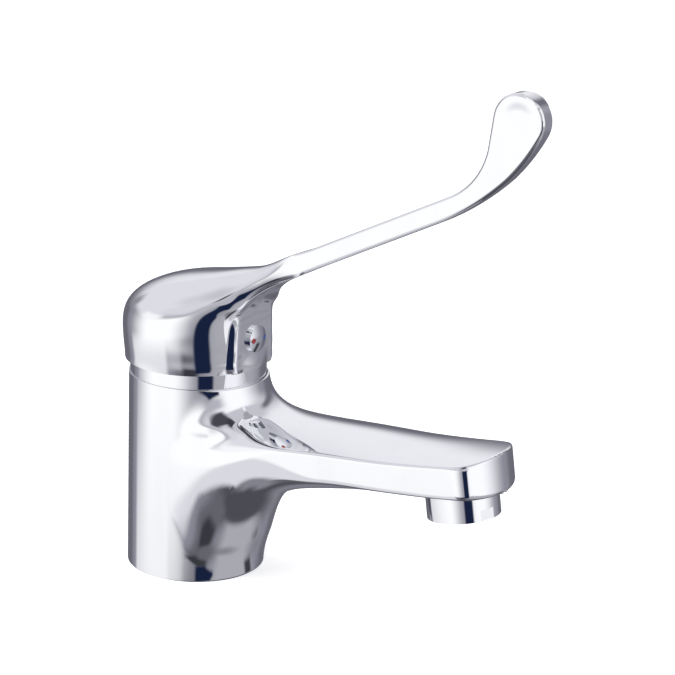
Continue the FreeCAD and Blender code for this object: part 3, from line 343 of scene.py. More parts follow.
print("shared effects:", polish.name, turned.name, moulded.name)

# %% [markdown]
# ## The finishes
# Every finish is a Principled BSDF whose colour moves a little between two tones and whose
# roughness and normal come from one of the groups above.

# %% Finishes
def finish(name, group, tones, metallic=0.0, coat=0.0, specular=0.5, **numbers):
    """A material: a group gives roughness, normal and a mask that blends two tones."""
    made = bpy.data.materials.new(name)
    made.use_nodes = True
    tree = made.node_tree
    shader = tree.nodes["Principled BSDF"]
    shader.inputs["Metallic"].default_value = metallic
    shader.inputs["Coat Weight"].default_value = coat
    shader.inputs["Specular IOR Level"].default_value = specular
    effect = add(tree, "ShaderNodeGroup", node_tree=group)
    for label, number in numbers.items():
        effect.inputs[label.replace("_", " ")].default_value = number
    wire(tree, effect.outputs["Roughness"], shader.inputs["Roughness"])
    wire(tree, effect.outputs["Normal"], shader.inputs["Normal"])
    wire(tree, blend_colour(tree, effect.outputs[2], *tones), shader.inputs["Base Color"])
    return made


FINISHES = {
    "chrome": finish("polished_chrome", polish, ((0.885, 0.89, 0.91), (0.86, 0.865, 0.885)), 1.0,
                     Wave_Size=45.0, Wave_Depth=0.03, Smooth=0.012, Streaked=0.035),
    "plug_chrome": finish("plated_plastic", polish, ((0.84, 0.85, 0.88), (0.80, 0.81, 0.84)), 1.0,
                          Wave_Size=300.0, Wave_Depth=0.08, Smooth=0.05, Streaked=0.11),
    "mark_red": finish("red_enamel", moulded, ((0.62, 0.02, 0.03), (0.5, 0.015, 0.02)),
                       coat=0.6, Low=0.2, High=0.32),
    "mark_blue": finish("blue_enamel", moulded, ((0.02, 0.16, 0.62), (0.015, 0.11, 0.5)),
                        coat=0.6, Low=0.2, High=0.32),
    "rubber": finish("black_rubber", moulded, ((0.022, 0.022, 0.024), (0.04, 0.04, 0.042)),
                     Low=0.6, High=0.85, Depth=0.5),
    "brass": finish("machined_brass", turned, ((0.72, 0.53, 0.24), (0.62, 0.44, 0.19)), 1.0),
    "steel": finish("stainless_steel", turned, ((0.60, 0.60, 0.62), (0.52, 0.52, 0.54)), 1.0,
                    Fine=0.18, Coarse=0.3),
    "cartridge_plastic": finish("ivory_plastic", moulded, ((0.80, 0.79, 0.74), (0.74, 0.73, 0.68))),
    "collar_plastic": finish("slate_plastic", moulded, ((0.11, 0.13, 0.16), (0.085, 0.10, 0.13))),
    "ceramic": finish("lapped_ceramic", moulded, ((0.88, 0.87, 0.84), (0.83, 0.82, 0.79)),
                      coat=0.4, Low=0.08, High=0.16, Depth=0.03),
    "insert_plastic": finish("black_plastic", moulded, ((0.045, 0.045, 0.05), (0.03, 0.03, 0.034))),
}
for part in frame["record"]["subparts"]:
    piece = nodes[part["node"]]
    piece.data.materials.clear()
    piece.data.materials.append(FINISHES[part["material_slot"]])
print("finishes:", ", ".join(FINISHES))

# %% [markdown]
# ## Tools for grid surfaces
# Each new piece below is a sheet of points worked out as whole arrays: one parameter runs along
# the piece and the other round it. Rows that meet in a point are merged, so poles are closed.

# %% Helpers for grid surfaces
def smooth_step(value, low, high):
    """0 below low, 1 above high, and 3t^2 - 2t^3 between."""
    t = np.clip((np.asarray(value, float) - low) / (high - low), 0, 1)
    return t * t * (3 - 2 * t)


def spline_through(knots, rows, at):
    """Natural cubic spline through table rows: the second derivatives solve one tridiagonal system."""
    knots, rows = np.asarray(knots, float), np.asarray(rows, float)
    gap = np.diff(knots)
    count = len(knots)
    system = np.eye(count)
    inner = np.arange(1, count - 1)
    system[inner, inner - 1], system[inner, inner + 1] = gap[:-1], gap[1:]
    system[inner, inner] = 2 * (gap[:-1] + gap[1:])
    slopes = np.diff(rows, axis=0) / gap[:, None]
    bends = np.zeros_like(rows)
    bends[1:-1] = 6 * np.diff(slopes, axis=0)
    bends = np.linalg.solve(system, bends)
    span = np.clip(np.searchsorted(knots, at, side="right") - 1, 0, count - 2)
    step, left = gap[span][:, None], (np.asarray(at) - knots[span])[:, None]
    right = step - left
    cubic = (bends[span] * right**3 + bends[span + 1] * left**3) / (6 * step)
    line = ((rows[span] / step - bends[span] * step / 6) * right
            + (rows[span + 1] / step - bends[span + 1] * step / 6) * left)
    return cubic + line


def grid_faces(rows, columns, wrap=False, offset=0):
    """Quads between neighbouring rows and columns of a grid; wrap joins the last column to the first."""
    strips = columns if wrap else columns - 1
    down, round_it = np.meshgrid(np.arange(rows - 1), np.arange(strips), indexing="ij")
    beside = (round_it + 1) % columns
    quads = np.stack([down * columns + round_it, down * columns + beside,
                      (down + 1) * columns + beside, (down + 1) * columns + round_it], -1)
    return quads.reshape(-1, 4) + offset


def mesh_piece(name, points, quads, finish_name, sharp=60):
    """A smooth object from points in millimetres; doubles are merged, and normals point out."""
    mesh = bpy.data.meshes.new(name)
    mesh.from_pydata((np.asarray(points) * MM).tolist(), [], quads.tolist())
    shape = bmesh.new()
    shape.from_mesh(mesh)
    bmesh.ops.remove_doubles(shape, verts=shape.verts, dist=2e-6)
    bmesh.ops.recalc_face_normals(shape, faces=shape.faces)
    middle = sum((v.co for v in shape.verts), Vector()) / len(shape.verts)
    if sum((f.calc_center_median() - middle).dot(f.normal) * f.calc_area() for f in shape.faces) < 0:
        bmesh.ops.reverse_faces(shape, faces=shape.faces)
    shape.to_mesh(mesh)
    shape.free()
    mesh.polygons.foreach_set("use_smooth", np.ones(len(mesh.polygons), bool))
    mesh.set_sharp_from_angle(angle=math.radians(sharp))
    piece = bpy.data.objects.new(name, mesh)
    bpy.context.scene.collection.objects.link(piece)
    mesh.materials.append(FINISHES[finish_name])
    print(name, len(mesh.vertices), "points", len(mesh.polygons), "faces")
    return piece


# %% [markdown]
# ## The plated casting
# Column and spout are one casting, polished until every join is soft and then plated. Two
# crossing solids with a fillet would do, but chrome shows each place where a fillet starts.
# So the plating is a thin skin on a blended field: a function that is negative inside, zero
# on the surface, and blends cylinder, spout sides, crown and belly into each other. A grid is
# laid roughly over it, flowing from the column's front half into the spout, and every point
# then slides down the field's slope until the function is zero.

# %% The field of the casting
BASE, COLUMN_TOP, SKIN = 25.0, 72.5, 0.04
TIP_X, TIP_Z, TIP_RADIUS, LEAN = 109.0, 64.6, 17.9, math.radians(9.0)
TAPER = math.radians(3.5)
ROOT_RADIUS = 200.0
# The nose in plan: how far behind the tip its circle starts, its radius, rounding to the sides
NOSE_BACK, NOSE_RADIUS, NOSE_EDGE = 8.2, 25.4, 2.4
# Rounding of the spout's upper and lower edges at the tip, and what the root adds to it
EDGE_TIP, EDGE_ROOT, KEEL_TIP, KEEL_ROOT = 1.0, 9, 1.4, 7
# Width of the blend between column and spout, above the spout and below it
NECK_BLEND, FOOT_BLEND = 22.5, 6
# Cosine of the crown's mean slope, and how fast the sides draw in behind the root fillet
CROWN_COSINE, DRAW_IN = 0.985, 0.03
NARROWEST = 12
# Step for slopes, smallest squared slope that is trusted, and the longest move in one round
PROBE, FLATTEST, LONGEST_MOVE = 0.01, 0.05, 1.5
# Share of the reach, side crease below the tip's upper edge, rise of the crown
CROWN = [
    (-0.3, 8.4, 7.6), (0.0, 8.2, 7.4), (0.202, 7.7, 6.4), (0.394, 6.7, 5.0),
    (0.606, 4.5, 3.4), (0.807, 2.7, 2.2), (1.0, 0.0, 1.1), (1.211, -3.6, 1.1),
]
# Keel under neck and spout: x, z and the radius of the arch across it
KEEL = [
    (25.0, -12.0, 25.0), (25.0, 0.0, 25.0), (25.7, 5.0, 25.0), (28.2, 13.5, 25.2),
    (30.8, 22.0, 25.6), (34.0, 28.7, 27.0), (39.0, 34.0, 29.0), (46.0, 37.8, 31.0),
    (60.0, 42.0, 35.0), (82.0, 46.8, 45.0), (98.0, 50.0, 75.0), (114.0, 52.5, 110.0),
    (132.0, 55.4, 120.0),
]
crown_shares, crown_rows = [row[0] for row in CROWN], [row[1:] for row in CROWN]
keel_points = np.array(KEEL)
keel_run = np.r_[0, np.cumsum(np.hypot(*np.diff(keel_points[:, :2], axis=0).T))]
fine_run = np.linspace(0, keel_run[-1], 120)
keel_fine = spline_through(keel_run, keel_points, fine_run)
# The fillet in plan between the round column and a spout side: a circle that touches both
side_gap = TIP_RADIUS + TIP_X * math.sin(TAPER)
touch = TAPER + math.acos((side_gap + ROOT_RADIUS) / (BASE + ROOT_RADIUS))
root_x, root_y = (BASE + ROOT_RADIUS) * math.sin(touch), (BASE + ROOT_RADIUS) * math.cos(touch)
leave_column, join_side = BASE * math.sin(touch), root_x - ROOT_RADIUS * math.sin(TAPER)


def soft_max(first, second, width):
    """The larger of two fields, with the corner between them rounded off over a width."""
    width = np.maximum(width, 1e-6)
    return np.maximum(first, second) + np.maximum(0, width - np.abs(first - second)) ** 2 / (4 * width)


def soft_join(first, second, width):
    """The smaller of two fields; a cubic rounding, so that the curvature starts from nothing."""
    width = np.maximum(width, 1e-6)
    near = np.maximum(width - np.abs(first - second), 0) / width
    return np.minimum(first, second) - near**3 * width / 6


def half_width(x):
    """Half width of the spout in plan: circle, then the root fillet, then the straight taper."""
    circle = np.sqrt(np.maximum(BASE**2 - x**2, 1)) - DRAW_IN * np.maximum(leave_column - x, 0) ** 2
    fillet = root_y - np.sqrt(np.maximum(ROOT_RADIUS**2 - (x - root_x) ** 2, 1))
    taper = TIP_RADIUS / math.cos(TAPER) + (TIP_X - x) * math.tan(TAPER)
    return np.where(x < leave_column, circle, np.where(x < join_side, fillet, taper))


def crown_height(x, y):
    """Height of the spout's top: a parabola across, whose side and rise come from the table."""
    share = np.clip(x / TIP_X, crown_shares[0], crown_shares[-1])
    drop, rise = spline_through(crown_shares, crown_rows, share.ravel()).T
    drop, rise = drop.reshape(x.shape), rise.reshape(x.shape)
    return TIP_Z - drop + rise * (1 - (y / np.maximum(half_width(x), NARROWEST)) ** 2)


def keel_distance(x, z):
    """Signed distance inwards from the keel line, and the arch radius at the nearest place."""
    start, step = keel_fine[:-1, :2], np.diff(keel_fine[:, :2], axis=0)
    length = (step**2).sum(1)
    away_x, away_z = x.ravel()[:, None] - start[:, 0], z.ravel()[:, None] - start[:, 1]
    t = np.clip((away_x * step[:, 0] + away_z * step[:, 1]) / length, 0, 1)
    gap_x, gap_z = away_x - t * step[:, 0], away_z - t * step[:, 1]
    near = np.argmin(gap_x**2 + gap_z**2, axis=1)
    pick = np.arange(len(near))
    side = np.sign(step[near, 0] * gap_z[pick, near] - step[near, 1] * gap_x[pick, near])
    radius = keel_fine[near, 2] + t[pick, near] * (keel_fine[near + 1, 2] - keel_fine[near, 2])
    distance = side * np.hypot(gap_x[pick, near], gap_z[pick, near])
    return distance.reshape(x.shape), radius.reshape(x.shape)


def casting(p):
    """The field: column, softly joined with the part between spout sides, crown and keel arches."""
    x, y, z = p[..., 0], p[..., 1], p[..., 2]
    column = np.hypot(x, y) - BASE
    leaning = (x - TIP_X) * math.cos(LEAN) + (z - TIP_Z) * math.sin(LEAN)
    straight = (np.abs(y) - half_width(x)) * math.cos(TAPER)
    nose = np.hypot(np.maximum(leaning + NOSE_BACK, 0), y) - NOSE_RADIUS
    sides = soft_max(nose, straight, NOSE_EDGE)
    crown = (z - crown_height(x, y)) * CROWN_COSINE
    inwards, arch = keel_distance(x, z)
    belly = arch - np.sqrt(np.maximum(arch**2 - y**2, 1)) - inwards
    edge_width = EDGE_TIP + EDGE_ROOT * (1 - smooth_step(x, 22, 50))
    keel_width = KEEL_TIP + KEEL_ROOT * (1 - smooth_step(x, 38, 66))
    spout = soft_max(soft_max(sides, crown, edge_width), belly, keel_width)
    high = NECK_BLEND * smooth_step(z, 50, 61) * smooth_step(x, 5, 21)
    low = FOOT_BLEND * smooth_step(z, 6, 16) * (1 - smooth_step(z, 34, 46)) * smooth_step(x, 8, 18)
    return soft_join(column, spout, high + low) - SKIN


def field_slope(points):
    """Slope of the field at points, from central differences along the three axes."""
    steps = np.eye(3) * PROBE
    return np.stack([(casting(points + e) - casting(points - e)) / (2 * PROBE) for e in steps], -1)


def settle(points, rounds=8):
    """Newton's method: each point moves down the slope until the field is zero there."""
    for _ in range(rounds):
        value = casting(points)
        slope = field_slope(points)
        move = slope * (value / np.maximum((slope**2).sum(-1), FLATTEST))[..., None]
        length = np.linalg.norm(move, axis=-1, keepdims=True)
        points = points - move * np.minimum(1, LONGEST_MOVE / np.maximum(length, 1e-9))
    return points


# %% The skin of the casting
def bunched(count, low, high):
    """Numbers from low to high that crowd at both ends: a cosine of an even scale."""
    return low + (high - low) * (0.5 - 0.5 * np.cos(np.linspace(0, math.pi, count)))


BELLY_STEPS, SIDE_STEPS, CROWN_STEPS, FLOW_ROWS, SPOUT_ROWS, NOSE_ROWS = 34, 44, 34, 56, 60, 26
# Along the ring the number runs from 0 to 1 on the belly, to 2 on the side, to 3 on the crown
ring = np.r_[bunched(BELLY_STEPS, 0, 1)[:-1], 1 + bunched(SIDE_STEPS, 0, 1)[:-1],
             2 + bunched(CROWN_STEPS, 0, 1)]
on_belly, on_side = np.clip(ring, 0, 1), np.clip(ring - 1, 0, 1)
on_crown = np.clip(ring - 2, 0, 1)


def section_guess(x, width, lean):
    """A first guess of one section: out along the keel arch, up the side and back over the crown."""
    reach = width * np.where(ring < 1, on_belly, 1 - on_crown)
    keel = np.interp(x, keel_fine[:, 0], keel_fine[:, 1])
    arch = np.interp(x, keel_fine[:, 0], keel_fine[:, 2])
    low = keel + arch - np.sqrt(arch**2 - reach**2)
    high = crown_height(np.full(ring.shape, x), reach)
    edge_low = keel + arch - math.sqrt(arch**2 - width**2)
    edge_high = crown_height(np.array([x]), np.array([width]))[0]
    z = np.where(ring < 1, low, np.where(ring < 2, edge_low + (edge_high - edge_low) * on_side, high))
    return np.stack([x + lean * (TIP_Z - z), reach, z], -1)


ROOT_X = 42.0
first = section_guess(ROOT_X, float(half_width(np.array(ROOT_X))), 0.0)
turn = np.where(ring < 1, on_belly, 1 - on_crown) * math.pi / 2
start = np.stack([BASE * np.cos(turn), BASE * np.sin(turn), COLUMN_TOP * on_side], -1)
uphill = np.where(ring < 1, 1 - on_belly, -on_crown * 1.0)
leave = np.stack([1 - np.abs(uphill) ** 1.5, np.zeros_like(ring), uphill], -1)
leave = leave / np.linalg.norm(leave, axis=-1, keepdims=True)
arrive = np.stack([np.ones_like(ring), -math.tan(TAPER) * (ring >= 1),
                   0.45 * (ring < 1) * (1 - on_belly)], -1)
t = np.linspace(0, 1, FLOW_ROWS)[:, None, None]
span = np.linalg.norm(first - start, axis=-1)[None, :, None]
flow = ((2 * t**3 - 3 * t**2 + 1) * start + (t**3 - 2 * t**2 + t) * leave * span * 0.9
        + (-2 * t**3 + 3 * t**2) * first + (t**3 - t**2) * arrive * span * 0.9)
stations = np.linspace(ROOT_X, TIP_X, SPOUT_ROWS)[1:]
spout_rows = [section_guess(x, float(half_width(np.array(x))),
                            math.tan(LEAN) * smooth_step(x, ROOT_X, TIP_X)) for x in stations]
nose_turn = np.linspace(0, math.pi / 2, NOSE_ROWS)[1:]
nose_rows = [section_guess(TIP_X + TIP_RADIUS * math.sin(a), max(TIP_RADIUS * math.cos(a), 1e-4),
                           math.tan(LEAN)) for a in nose_turn]
half_skin = np.concatenate([flow, np.array(spout_rows), np.array(nose_rows)])
settled = settle(half_skin)
settled[0] = start * np.array([(BASE + SKIN) / BASE, (BASE + SKIN) / BASE, 1])
middle = (ring == 0) | (ring == 3)
settled[:, middle, 1] = 0
settled[-1, :, 1] = 0
print("largest field value left on the skin:", round(float(np.abs(casting(settled[1:])).max()), 4), "mm")

# The back half of the column shares the heights of the front half's side points
BACK_STEPS, PLATING = 97, 0.4
back_turn = np.linspace(math.pi / 2, 3 * math.pi / 2, BACK_STEPS)
heights = start[(ring >= 1) & (ring <= 2), 2]
back_x, back_y = (BASE + SKIN) * np.cos(back_turn), (BASE + SKIN) * np.sin(back_turn)
back_grid = np.stack(np.broadcast_arrays(back_x[:, None], back_y[:, None], heights[None]), -1)
other_half = settled * np.array([1, -1, 1])
grids = [settled, other_half, back_grid]
points = np.concatenate([g.reshape(-1, 3) for g in grids])
points[:, 2] = np.maximum(points[:, 2], 0)
offsets = np.cumsum([0] + [g.shape[0] * g.shape[1] for g in grids])
quads = np.concatenate([grid_faces(g.shape[0], g.shape[1], offset=o) for g, o in zip(grids, offsets)])
casting_skin = mesh_piece("casting_skin", points, quads, "chrome", sharp=75)
shell = casting_skin.modifiers.new("plating", "SOLIDIFY")
shell.thickness, shell.offset = PLATING * MM, -1
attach(casting_skin, "tap")
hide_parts("body")

# %% [markdown]
# ## The casting under its plating
# The skin has no bores. The CAD body keeps them, with the water ways and the hollow for the
# hoses, so a copy of it stays under the skin. Where it would show through, its points slide
# inwards down the same field. It has the chrome finish too, so no seam shows at the rims.

# %% The casting under its plating
CORE_DEPTH, CORE_ROUNDS = 0.9, 6
core_mesh = nodes["body"].data.copy()
core_mesh.name = "casting_core"
shape = bmesh.new()
shape.from_mesh(core_mesh)
bmesh.ops.remove_doubles(shape, verts=shape.verts, dist=2e-6)
shape.to_mesh(core_mesh)
shape.free()
places = np.zeros(len(core_mesh.vertices) * 3)
core_mesh.vertices.foreach_get("co", places)
places = places.reshape(-1, 3) / MM
outside = casting(places) > -CORE_DEPTH
sunk = places[outside]
for _ in range(CORE_ROUNDS):
    value = casting(sunk) + CORE_DEPTH
    slope = field_slope(sunk)
    at_rim = (sunk[:, 2] < PROBE) | (sunk[:, 2] > COLUMN_TOP - PROBE)
    slope[:, 2] = np.where(at_rim, 0, slope[:, 2])
    sunk = sunk - slope * (np.maximum(value, 0) / np.maximum((slope**2).sum(-1), FLATTEST))[:, None]
places[outside] = sunk
core_mesh.vertices.foreach_set("co", (places * MM).ravel())
core_mesh.polygons.foreach_set("use_smooth", np.ones(len(core_mesh.polygons), bool))
core_mesh.set_sharp_from_angle(angle=math.radians(30))
casting_core = bpy.data.objects.new("casting_core", core_mesh)
bpy.context.scene.collection.objects.link(casting_core)
core_mesh.materials.clear()
core_mesh.materials.append(FINISHES["chrome"])
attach(casting_core, "tap")
print("points of the casting drawn in under the skin:", int(outside.sum()), "of", len(places))

# %% [markdown]
# ## The lever
# Cap, bar and blade are one casting too. Lofting separate solids leaves a seam where the bar
# starts, so here one grid runs from the skirt's rim to the tip of the blade. Every row spans a
# lower and an upper point of the middle plane. On the cap a row is a round arch closed by the
# front face; on the bar it is a rectangle with rounded corners; in between the two are mixed.

# %% Sections of the cap
# Lower x and z, upper x and z, half width, half width of the front face, fullness of the arch,
# half width of the raised panel, and how far the panel's edge and its middle stand out
CAP = [
    (21.8, 77.9, -26.35, 77.9, 26.4, 12.7, 2.0, 7.2, 2.6, 3.8),
    (21.8, 79.3, -26.45, 79.3, 26.5, 13.4, 2.0, 7.6, 2.7, 3.8),
    (21.8, 82.0, -26.8, 83.0, 26.8, 13.5, 2.0, 8.0, 2.6, 3.4),
    (21.9, 85.0, -27.15, 88.0, 27.15, 13.4, 2.0, 8.3, 2.6, 2.9),
    (22.0, 88.0, -27.0, 93.5, 27.35, 13.2, 2.0, 8.4, 2.5, 2.5),
    (22.1, 91.0, -24.8, 98.7, 27.2, 13.0, 2.05, 8.0, 2.4, 2.4),
    (22.3, 94.0, -19.5, 103.2, 26.3, 12.8, 2.1, 7.2, 2.3, 2.3),
    (22.8, 96.8, -11.0, 106.8, 24.3, 12.5, 2.1, 6.1, 1.8, 1.8),
    (24.1, 99.4, -1.0, 109.2, 21.2, 12.0, 2.1, 4.7, 0.6, 0.6),
    (26.2, 102.0, 9.0, 111.3, 17.5, 11.1, 2.1, 2.8, -1.4, -1.2),
    (27.8, 104.6, 18.0, 113.4, 13.5, 9.8, 2.1, 1.4, -1.1, -1.0),
    (30.6, 107.4, 25.5, 115.3, 10.2, 7.7, 2.1, 1.0, -0.4, -0.3),
    (35.6, 110.9, 32.0, 118.0, 7.2, 4.9, 2.2, 1.0, 0.0, 0.0),
    (43.0, 114.95, 39.4, 121.9, 5.2, 3.2, 2.6, 1.0, 0.0, 0.0),
]
SLOPE, BAR_FOOT, BAR_HEIGHT, BAR_WIDTH = math.radians(26.8), np.array([52.0, 119.65]), 7.1, 6.9
BAR_RUN, BAR_LEAD, CORNER = 51.4, 8.8, 1.3
HEAD, HEAD_RADIUS = np.array([126.5, 181.2]), 9.4
UNDER, HEEL, FRONT = np.array([-14.8, -30.0]), np.array([-2.5, -19.6]), np.array([3.3, -12.5])
HOLLOW, BEHIND = np.array([-15.3, -20.7]), np.array([-10.8, -10.4])
TIP_TURN = math.radians(58.0)
along = np.array([math.cos(SLOPE), math.sin(SLOPE)])
over = np.array([-math.sin(SLOPE), math.cos(SLOPE)])


def arc_through(first, second, third, count=60):
    """Points of the circle through three points, from the first past the second to the third."""
    system = 2 * np.array([second - first, third - first])
    squares = np.array([second @ second - first @ first, third @ third - first @ first])
    centre = np.linalg.solve(system, squares)
    angles = np.unwrap([math.atan2(*(p - centre)[::-1]) for p in (first, second, third)])
    turn = np.linspace(angles[0], angles[2], count)
    return centre + np.linalg.norm(first - centre) * np.stack([np.cos(turn), np.sin(turn)], -1)


def on_head(angle):
    """Points of the blade's round head at angles from the x axis."""
    return HEAD + HEAD_RADIUS * np.stack([np.cos(angle), np.sin(angle)], -1)


def even_points(line, share):
    """Points of a polyline at shares of its length."""
    run = np.r_[0, np.cumsum(np.linalg.norm(np.diff(line, axis=0), axis=1))]
    return np.stack([np.interp(share * run[-1], run, line[:, k]) for k in (0, 1)], -1)


low_end = BAR_FOOT + along * BAR_RUN
high_foot = BAR_FOOT + over * BAR_HEIGHT
high_end = high_foot + along * (BAR_RUN + BAR_LEAD)
leave_low, leave_high = math.radians(-30.0), math.radians(173.0)
low_line = np.concatenate([
    np.linspace(BAR_FOOT, low_end, 40), arc_through(low_end, HEAD + UNDER, HEAD + HEEL),
    arc_through(HEAD + HEEL, HEAD + FRONT, on_head(leave_low)),
    on_head(np.linspace(leave_low, TIP_TURN, 60))])
high_line = np.concatenate([
    np.linspace(high_foot, high_end, 40), arc_through(high_end, HEAD + HOLLOW, HEAD + BEHIND),
    np.linspace(HEAD + BEHIND, on_head(leave_high), 20), on_head(np.linspace(leave_high, TIP_TURN, 60))])
outline = np.concatenate([low_line, high_line[::-1]])
print("outline of bar and blade:", len(outline), "points, tip at", np.round(low_line[-1], 1))

# %% Rows of the lever
CAP_ROWS, BLADE_ROWS, FACE_STEPS, ARCH_STEPS = 76, 130, 53, 135
fall = 1 - np.linspace(1, 0, BLADE_ROWS) ** 1.25
low_bar, high_bar = even_points(low_line, fall), even_points(high_line, fall)
table = np.array(CAP)
bar_values = (BAR_WIDTH / 2, BAR_WIDTH / 2 - CORNER, 3.4, 1.0, 0.0, 0.0)
ends = [(*low_bar[k], *high_bar[k], *bar_values) for k in (0, 4, 8)]
knots_rows = np.concatenate([table, ends])
middles = (knots_rows[:, 0:2] + knots_rows[:, 2:4]) / 2
knots = np.r_[0, np.cumsum(np.maximum(np.linalg.norm(np.diff(middles, axis=0), axis=1), 1.5))]
cap = spline_through(knots, knots_rows, np.linspace(0, knots[len(CAP)], CAP_ROWS))
count = BLADE_ROWS - 1
bar = np.concatenate([low_bar[1:], high_bar[1:], np.tile(ends[0][4:], (count, 1))], axis=1)
rows = np.concatenate([cap, bar])
to_bar = smooth_step(np.r_[cap[:, 0], np.full(count, 99.0)], 33.0, 50.0)[:, None]
low, high = rows[:, None, 0:2], rows[:, None, 2:4]
wide, face, full, panel, edge_out, middle_out = (rows[:, None, k] for k in range(4, 10))
chord = np.linalg.norm(high - low, axis=-1)
rise = (high - low) / np.maximum(chord, 1e-6)[..., None]

# %% Cap family: front face and arch
STEEP, FLANK_POWER = 2.2, 1.15
q = bunched(FACE_STEPS, -1, 1)[None, :-1]
across_face = np.abs(q) * face
border = STEEP + (np.maximum(face - panel, 0.5) - STEEP) * smooth_step(low[..., 1], 98, 103)
flank = edge_out * (1 - (1 - np.clip((face - across_face) / border, 0, 1)) ** FLANK_POWER)
dome = (middle_out - edge_out) * np.maximum(1 - (across_face / panel) ** 2, 0)
stand_out = flank + dome
kernel = np.array([1, 4, 6, 4, 1]) / 16
for _ in range(2):
    padded = np.concatenate([-stand_out[:, 2:0:-1], stand_out, -stand_out[:, -2:-4:-1]], axis=1)
    stand_out = sum(kernel[k] * padded[:, k:k + stand_out.shape[1]] for k in range(5))
face_points = low - rise * stand_out[..., None]
u = bunched(ARCH_STEPS, 1, -1)[None, :]
begin = np.arcsin(np.clip(face / wide, 0, 1) ** (full / 2))
radius = chord / (1 + np.cos(begin))
sweep = math.pi - (math.pi - begin) * np.abs(u) ** (full / 2)
arch_side = np.sign(u) * wide * np.abs(np.sin(sweep)) ** (2 / full)
arch_up = chord - radius - radius * np.cos(sweep)
arch_points = low + rise * arch_up[..., None]
face_shape = (len(rows), FACE_STEPS - 1, 2)
cap_plane = np.concatenate([np.broadcast_to(face_points, face_shape), arch_points], axis=1)
cap_side = np.concatenate([q * face, arch_side], axis=1)

# %% Bar family: a rounded rectangle, dished on the blade
# Share of the arch that spans the lower strip, then depth of the dish, and where it starts and fades
STRIP, DISH = 0.3, 0.5
DISH_EDGE, DISH_FADE = (1.5, 6.6), (4.0, 15.0)
climb = np.clip((1 - np.abs(u)) / (1 - STRIP), 0, 1)
share_up = 0.5 - 0.5 * np.cos(math.pi * climb)
bar_arch = low + (high - low) * share_up[..., None]
bar_plane = np.concatenate([np.broadcast_to(low, face_shape), bar_arch], axis=1)


def depth_inside(points):
    """Distance from points of the middle plane to the outline of bar and blade."""
    start, step = outline[:-1], np.diff(outline, axis=0)
    keep = (step**2).sum(1) > 1e-12
    start, step = start[keep], step[keep]
    away = points.reshape(-1, 1, 2) - start
    t = np.clip((away * step).sum(-1) / (step**2).sum(1), 0, 1)
    return np.sqrt(((away - t[..., None] * step) ** 2).sum(-1).min(1)).reshape(points.shape[:-1])


inside = np.where(chord > 7.6, depth_inside(bar_arch), np.minimum(share_up, 1 - share_up) * chord)
half = BAR_WIDTH / 2
bulge = np.sqrt(np.maximum(CORNER**2 - np.maximum(CORNER - inside, 0) ** 2, 0))
to_head = np.linalg.norm(bar_arch - HEAD, axis=-1)
dish = DISH * smooth_step(inside, *DISH_EDGE) * (1 - smooth_step(to_head, *DISH_FADE))
rounded_side = np.sign(u) * (half - CORNER + bulge - dish)
bar_side = np.where(np.abs(u) > STRIP, rounded_side, (half - CORNER) * u / STRIP)
strip_side = np.broadcast_to(q * (half - CORNER), (len(rows), FACE_STEPS - 1))
bar_side = np.concatenate([strip_side, bar_side], axis=1)
plane = cap_plane * (1 - to_bar[..., None]) + bar_plane * to_bar[..., None]
across_lever = cap_side * (1 - to_bar) + bar_side * to_bar
lever_points = np.stack([plane[..., 0], across_lever, plane[..., 1]], -1)

# %% [markdown]
# ## Facets and creases
# The cap has a shallow hollow on each shoulder, and the edges of its front face are eased, not
# sharp. A boolean cut would leave hard borders, so the points themselves move:
# inwards along their normals for the hollows, and onto a small curve along the creases.

# %% Facets on the cap's shoulders
# Along x: lower edge and upper edge of the shallow hollow on each side
FACET = np.array([
    (-8.0, 99.0, 103.2), (-5.0, 98.3, 106.8), (0.9, 97.8, 108.2), (5.7, 98.6, 109.4),
    (11.1, 100.6, 110.8), (15.5, 103.5, 111.8), (20.1, 106.3, 112.9), (24.2, 109.1, 114.0),
    (29.0, 112.7, 115.6), (33.5, 116.5, 118.0),
])
# Where the hollow sinks and comes back, in shares of the way from its lower to its upper edge
FACET_DEPTH, FACET_SINK, FACET_RISE = 0.6, (-0.25, 0.75), (0.88, 0.99)
along_rows = np.gradient(lever_points, axis=0)
round_rows = (np.roll(lever_points, -1, 1) - np.roll(lever_points, 1, 1)) / 2
outward = np.cross(along_rows, round_rows)
outward /= np.maximum(np.linalg.norm(outward, axis=-1, keepdims=True), 1e-9)
outward *= np.sign((outward * (lever_points - [0, 0, 95])).sum(-1, keepdims=True))
forward, upward = lever_points[..., 0], lever_points[..., 2]
lower, upper = (np.interp(forward, FACET[:, 0], FACET[:, k]) for k in (1, 2))
share = (upward - lower) / (upper - lower)
hollow = smooth_step(share, *FACET_SINK) * (1 - smooth_step(share, *FACET_RISE))
hollow *= smooth_step(forward, -9, 0) * (1 - smooth_step(forward, 20, 33))
hollow *= smooth_step(np.abs(lever_points[..., 1]), 2, 5)
hollow[:, :FACE_STEPS] = 0
lever_points = lever_points - outward * FACET_DEPTH * hollow[..., None]

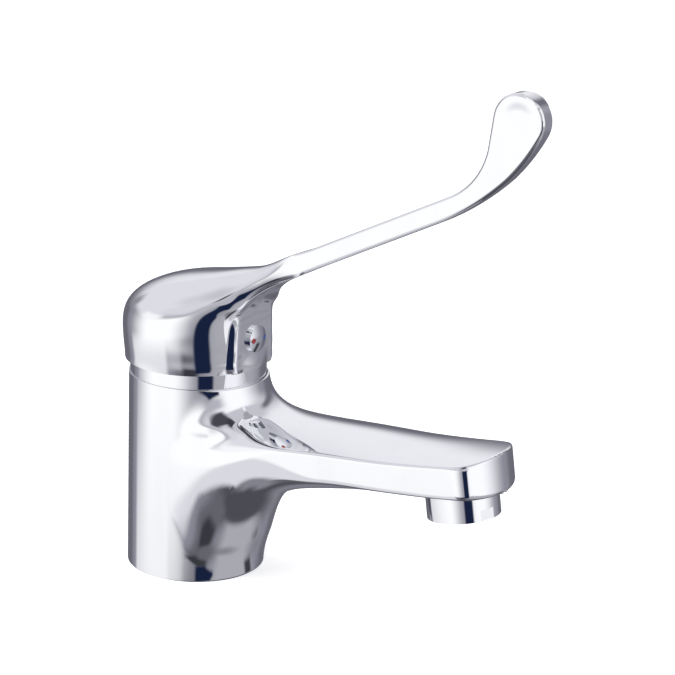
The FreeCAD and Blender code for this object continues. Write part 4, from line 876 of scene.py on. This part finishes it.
# %% Rounded creases
def round_creases(points, corner, reach):
    """Swaps the two sides of a crease, as far as reach, for a quadratic curve that touches both."""
    count = points.shape[1]
    order = (np.arange(count) + corner) % count
    turned_points = points[:, order]
    lengths = np.linalg.norm(np.diff(turned_points, axis=1), axis=-1)
    after = np.c_[np.zeros(len(points)), np.cumsum(lengths, axis=1)]
    loop = after[:, -1:] + np.linalg.norm(turned_points[:, :1] - turned_points[:, -1:], axis=-1)
    before = loop - after
    result = turned_points.copy()
    for line in range(len(points)):
        size = min(reach[line], loop[line, 0] / 12)
        if size < 0.02:
            continue
        run = np.r_[after[line], loop[line]]
        closed = np.vstack([turned_points[line], turned_points[line, :1]])
        ahead, behind = (np.array([np.interp(s, run, closed[:, k]) for k in range(3)])
                         for s in (size, loop[line, 0] - size))
        for distance, own, other in ((after[line], ahead, behind), (before[line], behind, ahead)):
            near = distance < size
            t = (0.5 - 0.5 * distance[near] / size)[:, None]
            result[line, near] = (1 - t) ** 2 * own + 2 * t * (1 - t) * closed[0] + t**2 * other
    back_order = np.argsort(order)
    return result[:, back_order]


CREASE = 0.55
last_round = int(np.argmax(to_bar[:, 0] > 0.999))
reach = CREASE * (1 - to_bar[:last_round, 0])
for corner in (0, FACE_STEPS - 1):
    lever_points[:last_round] = round_creases(lever_points[:last_round], corner, reach)
print("lever rows and columns:", lever_points.shape[:2])

# %% The lever's mesh
# Rows inside the skirt close the piece: scale of the rim's outline and height
INNER = [(0.0, 99.0), (0.75, 97.0), (0.93, 90.0), (0.965, 77.9)]
centre = np.array([-1.0, 0.0])
rim = lever_points[0, :, :2] - centre
inner = np.stack([np.column_stack([centre + scale * rim, np.full(len(rim), level)])
                  for scale, level in INNER])
lever_points = np.concatenate([inner, lever_points])
# The last row is a line across the tip; its points snap to even steps, so that doubles merge
TIP_STEP = 0.43
lever_points[-1, :, 1] = np.round(lever_points[-1, :, 1] / TIP_STEP) * TIP_STEP
quads = grid_faces(len(lever_points), lever_points.shape[1], wrap=True)
lever = mesh_piece("lever_chrome", lever_points.reshape(-1, 3), quads, "chrome", sharp=75)
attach(lever, "handle")
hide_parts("lever")
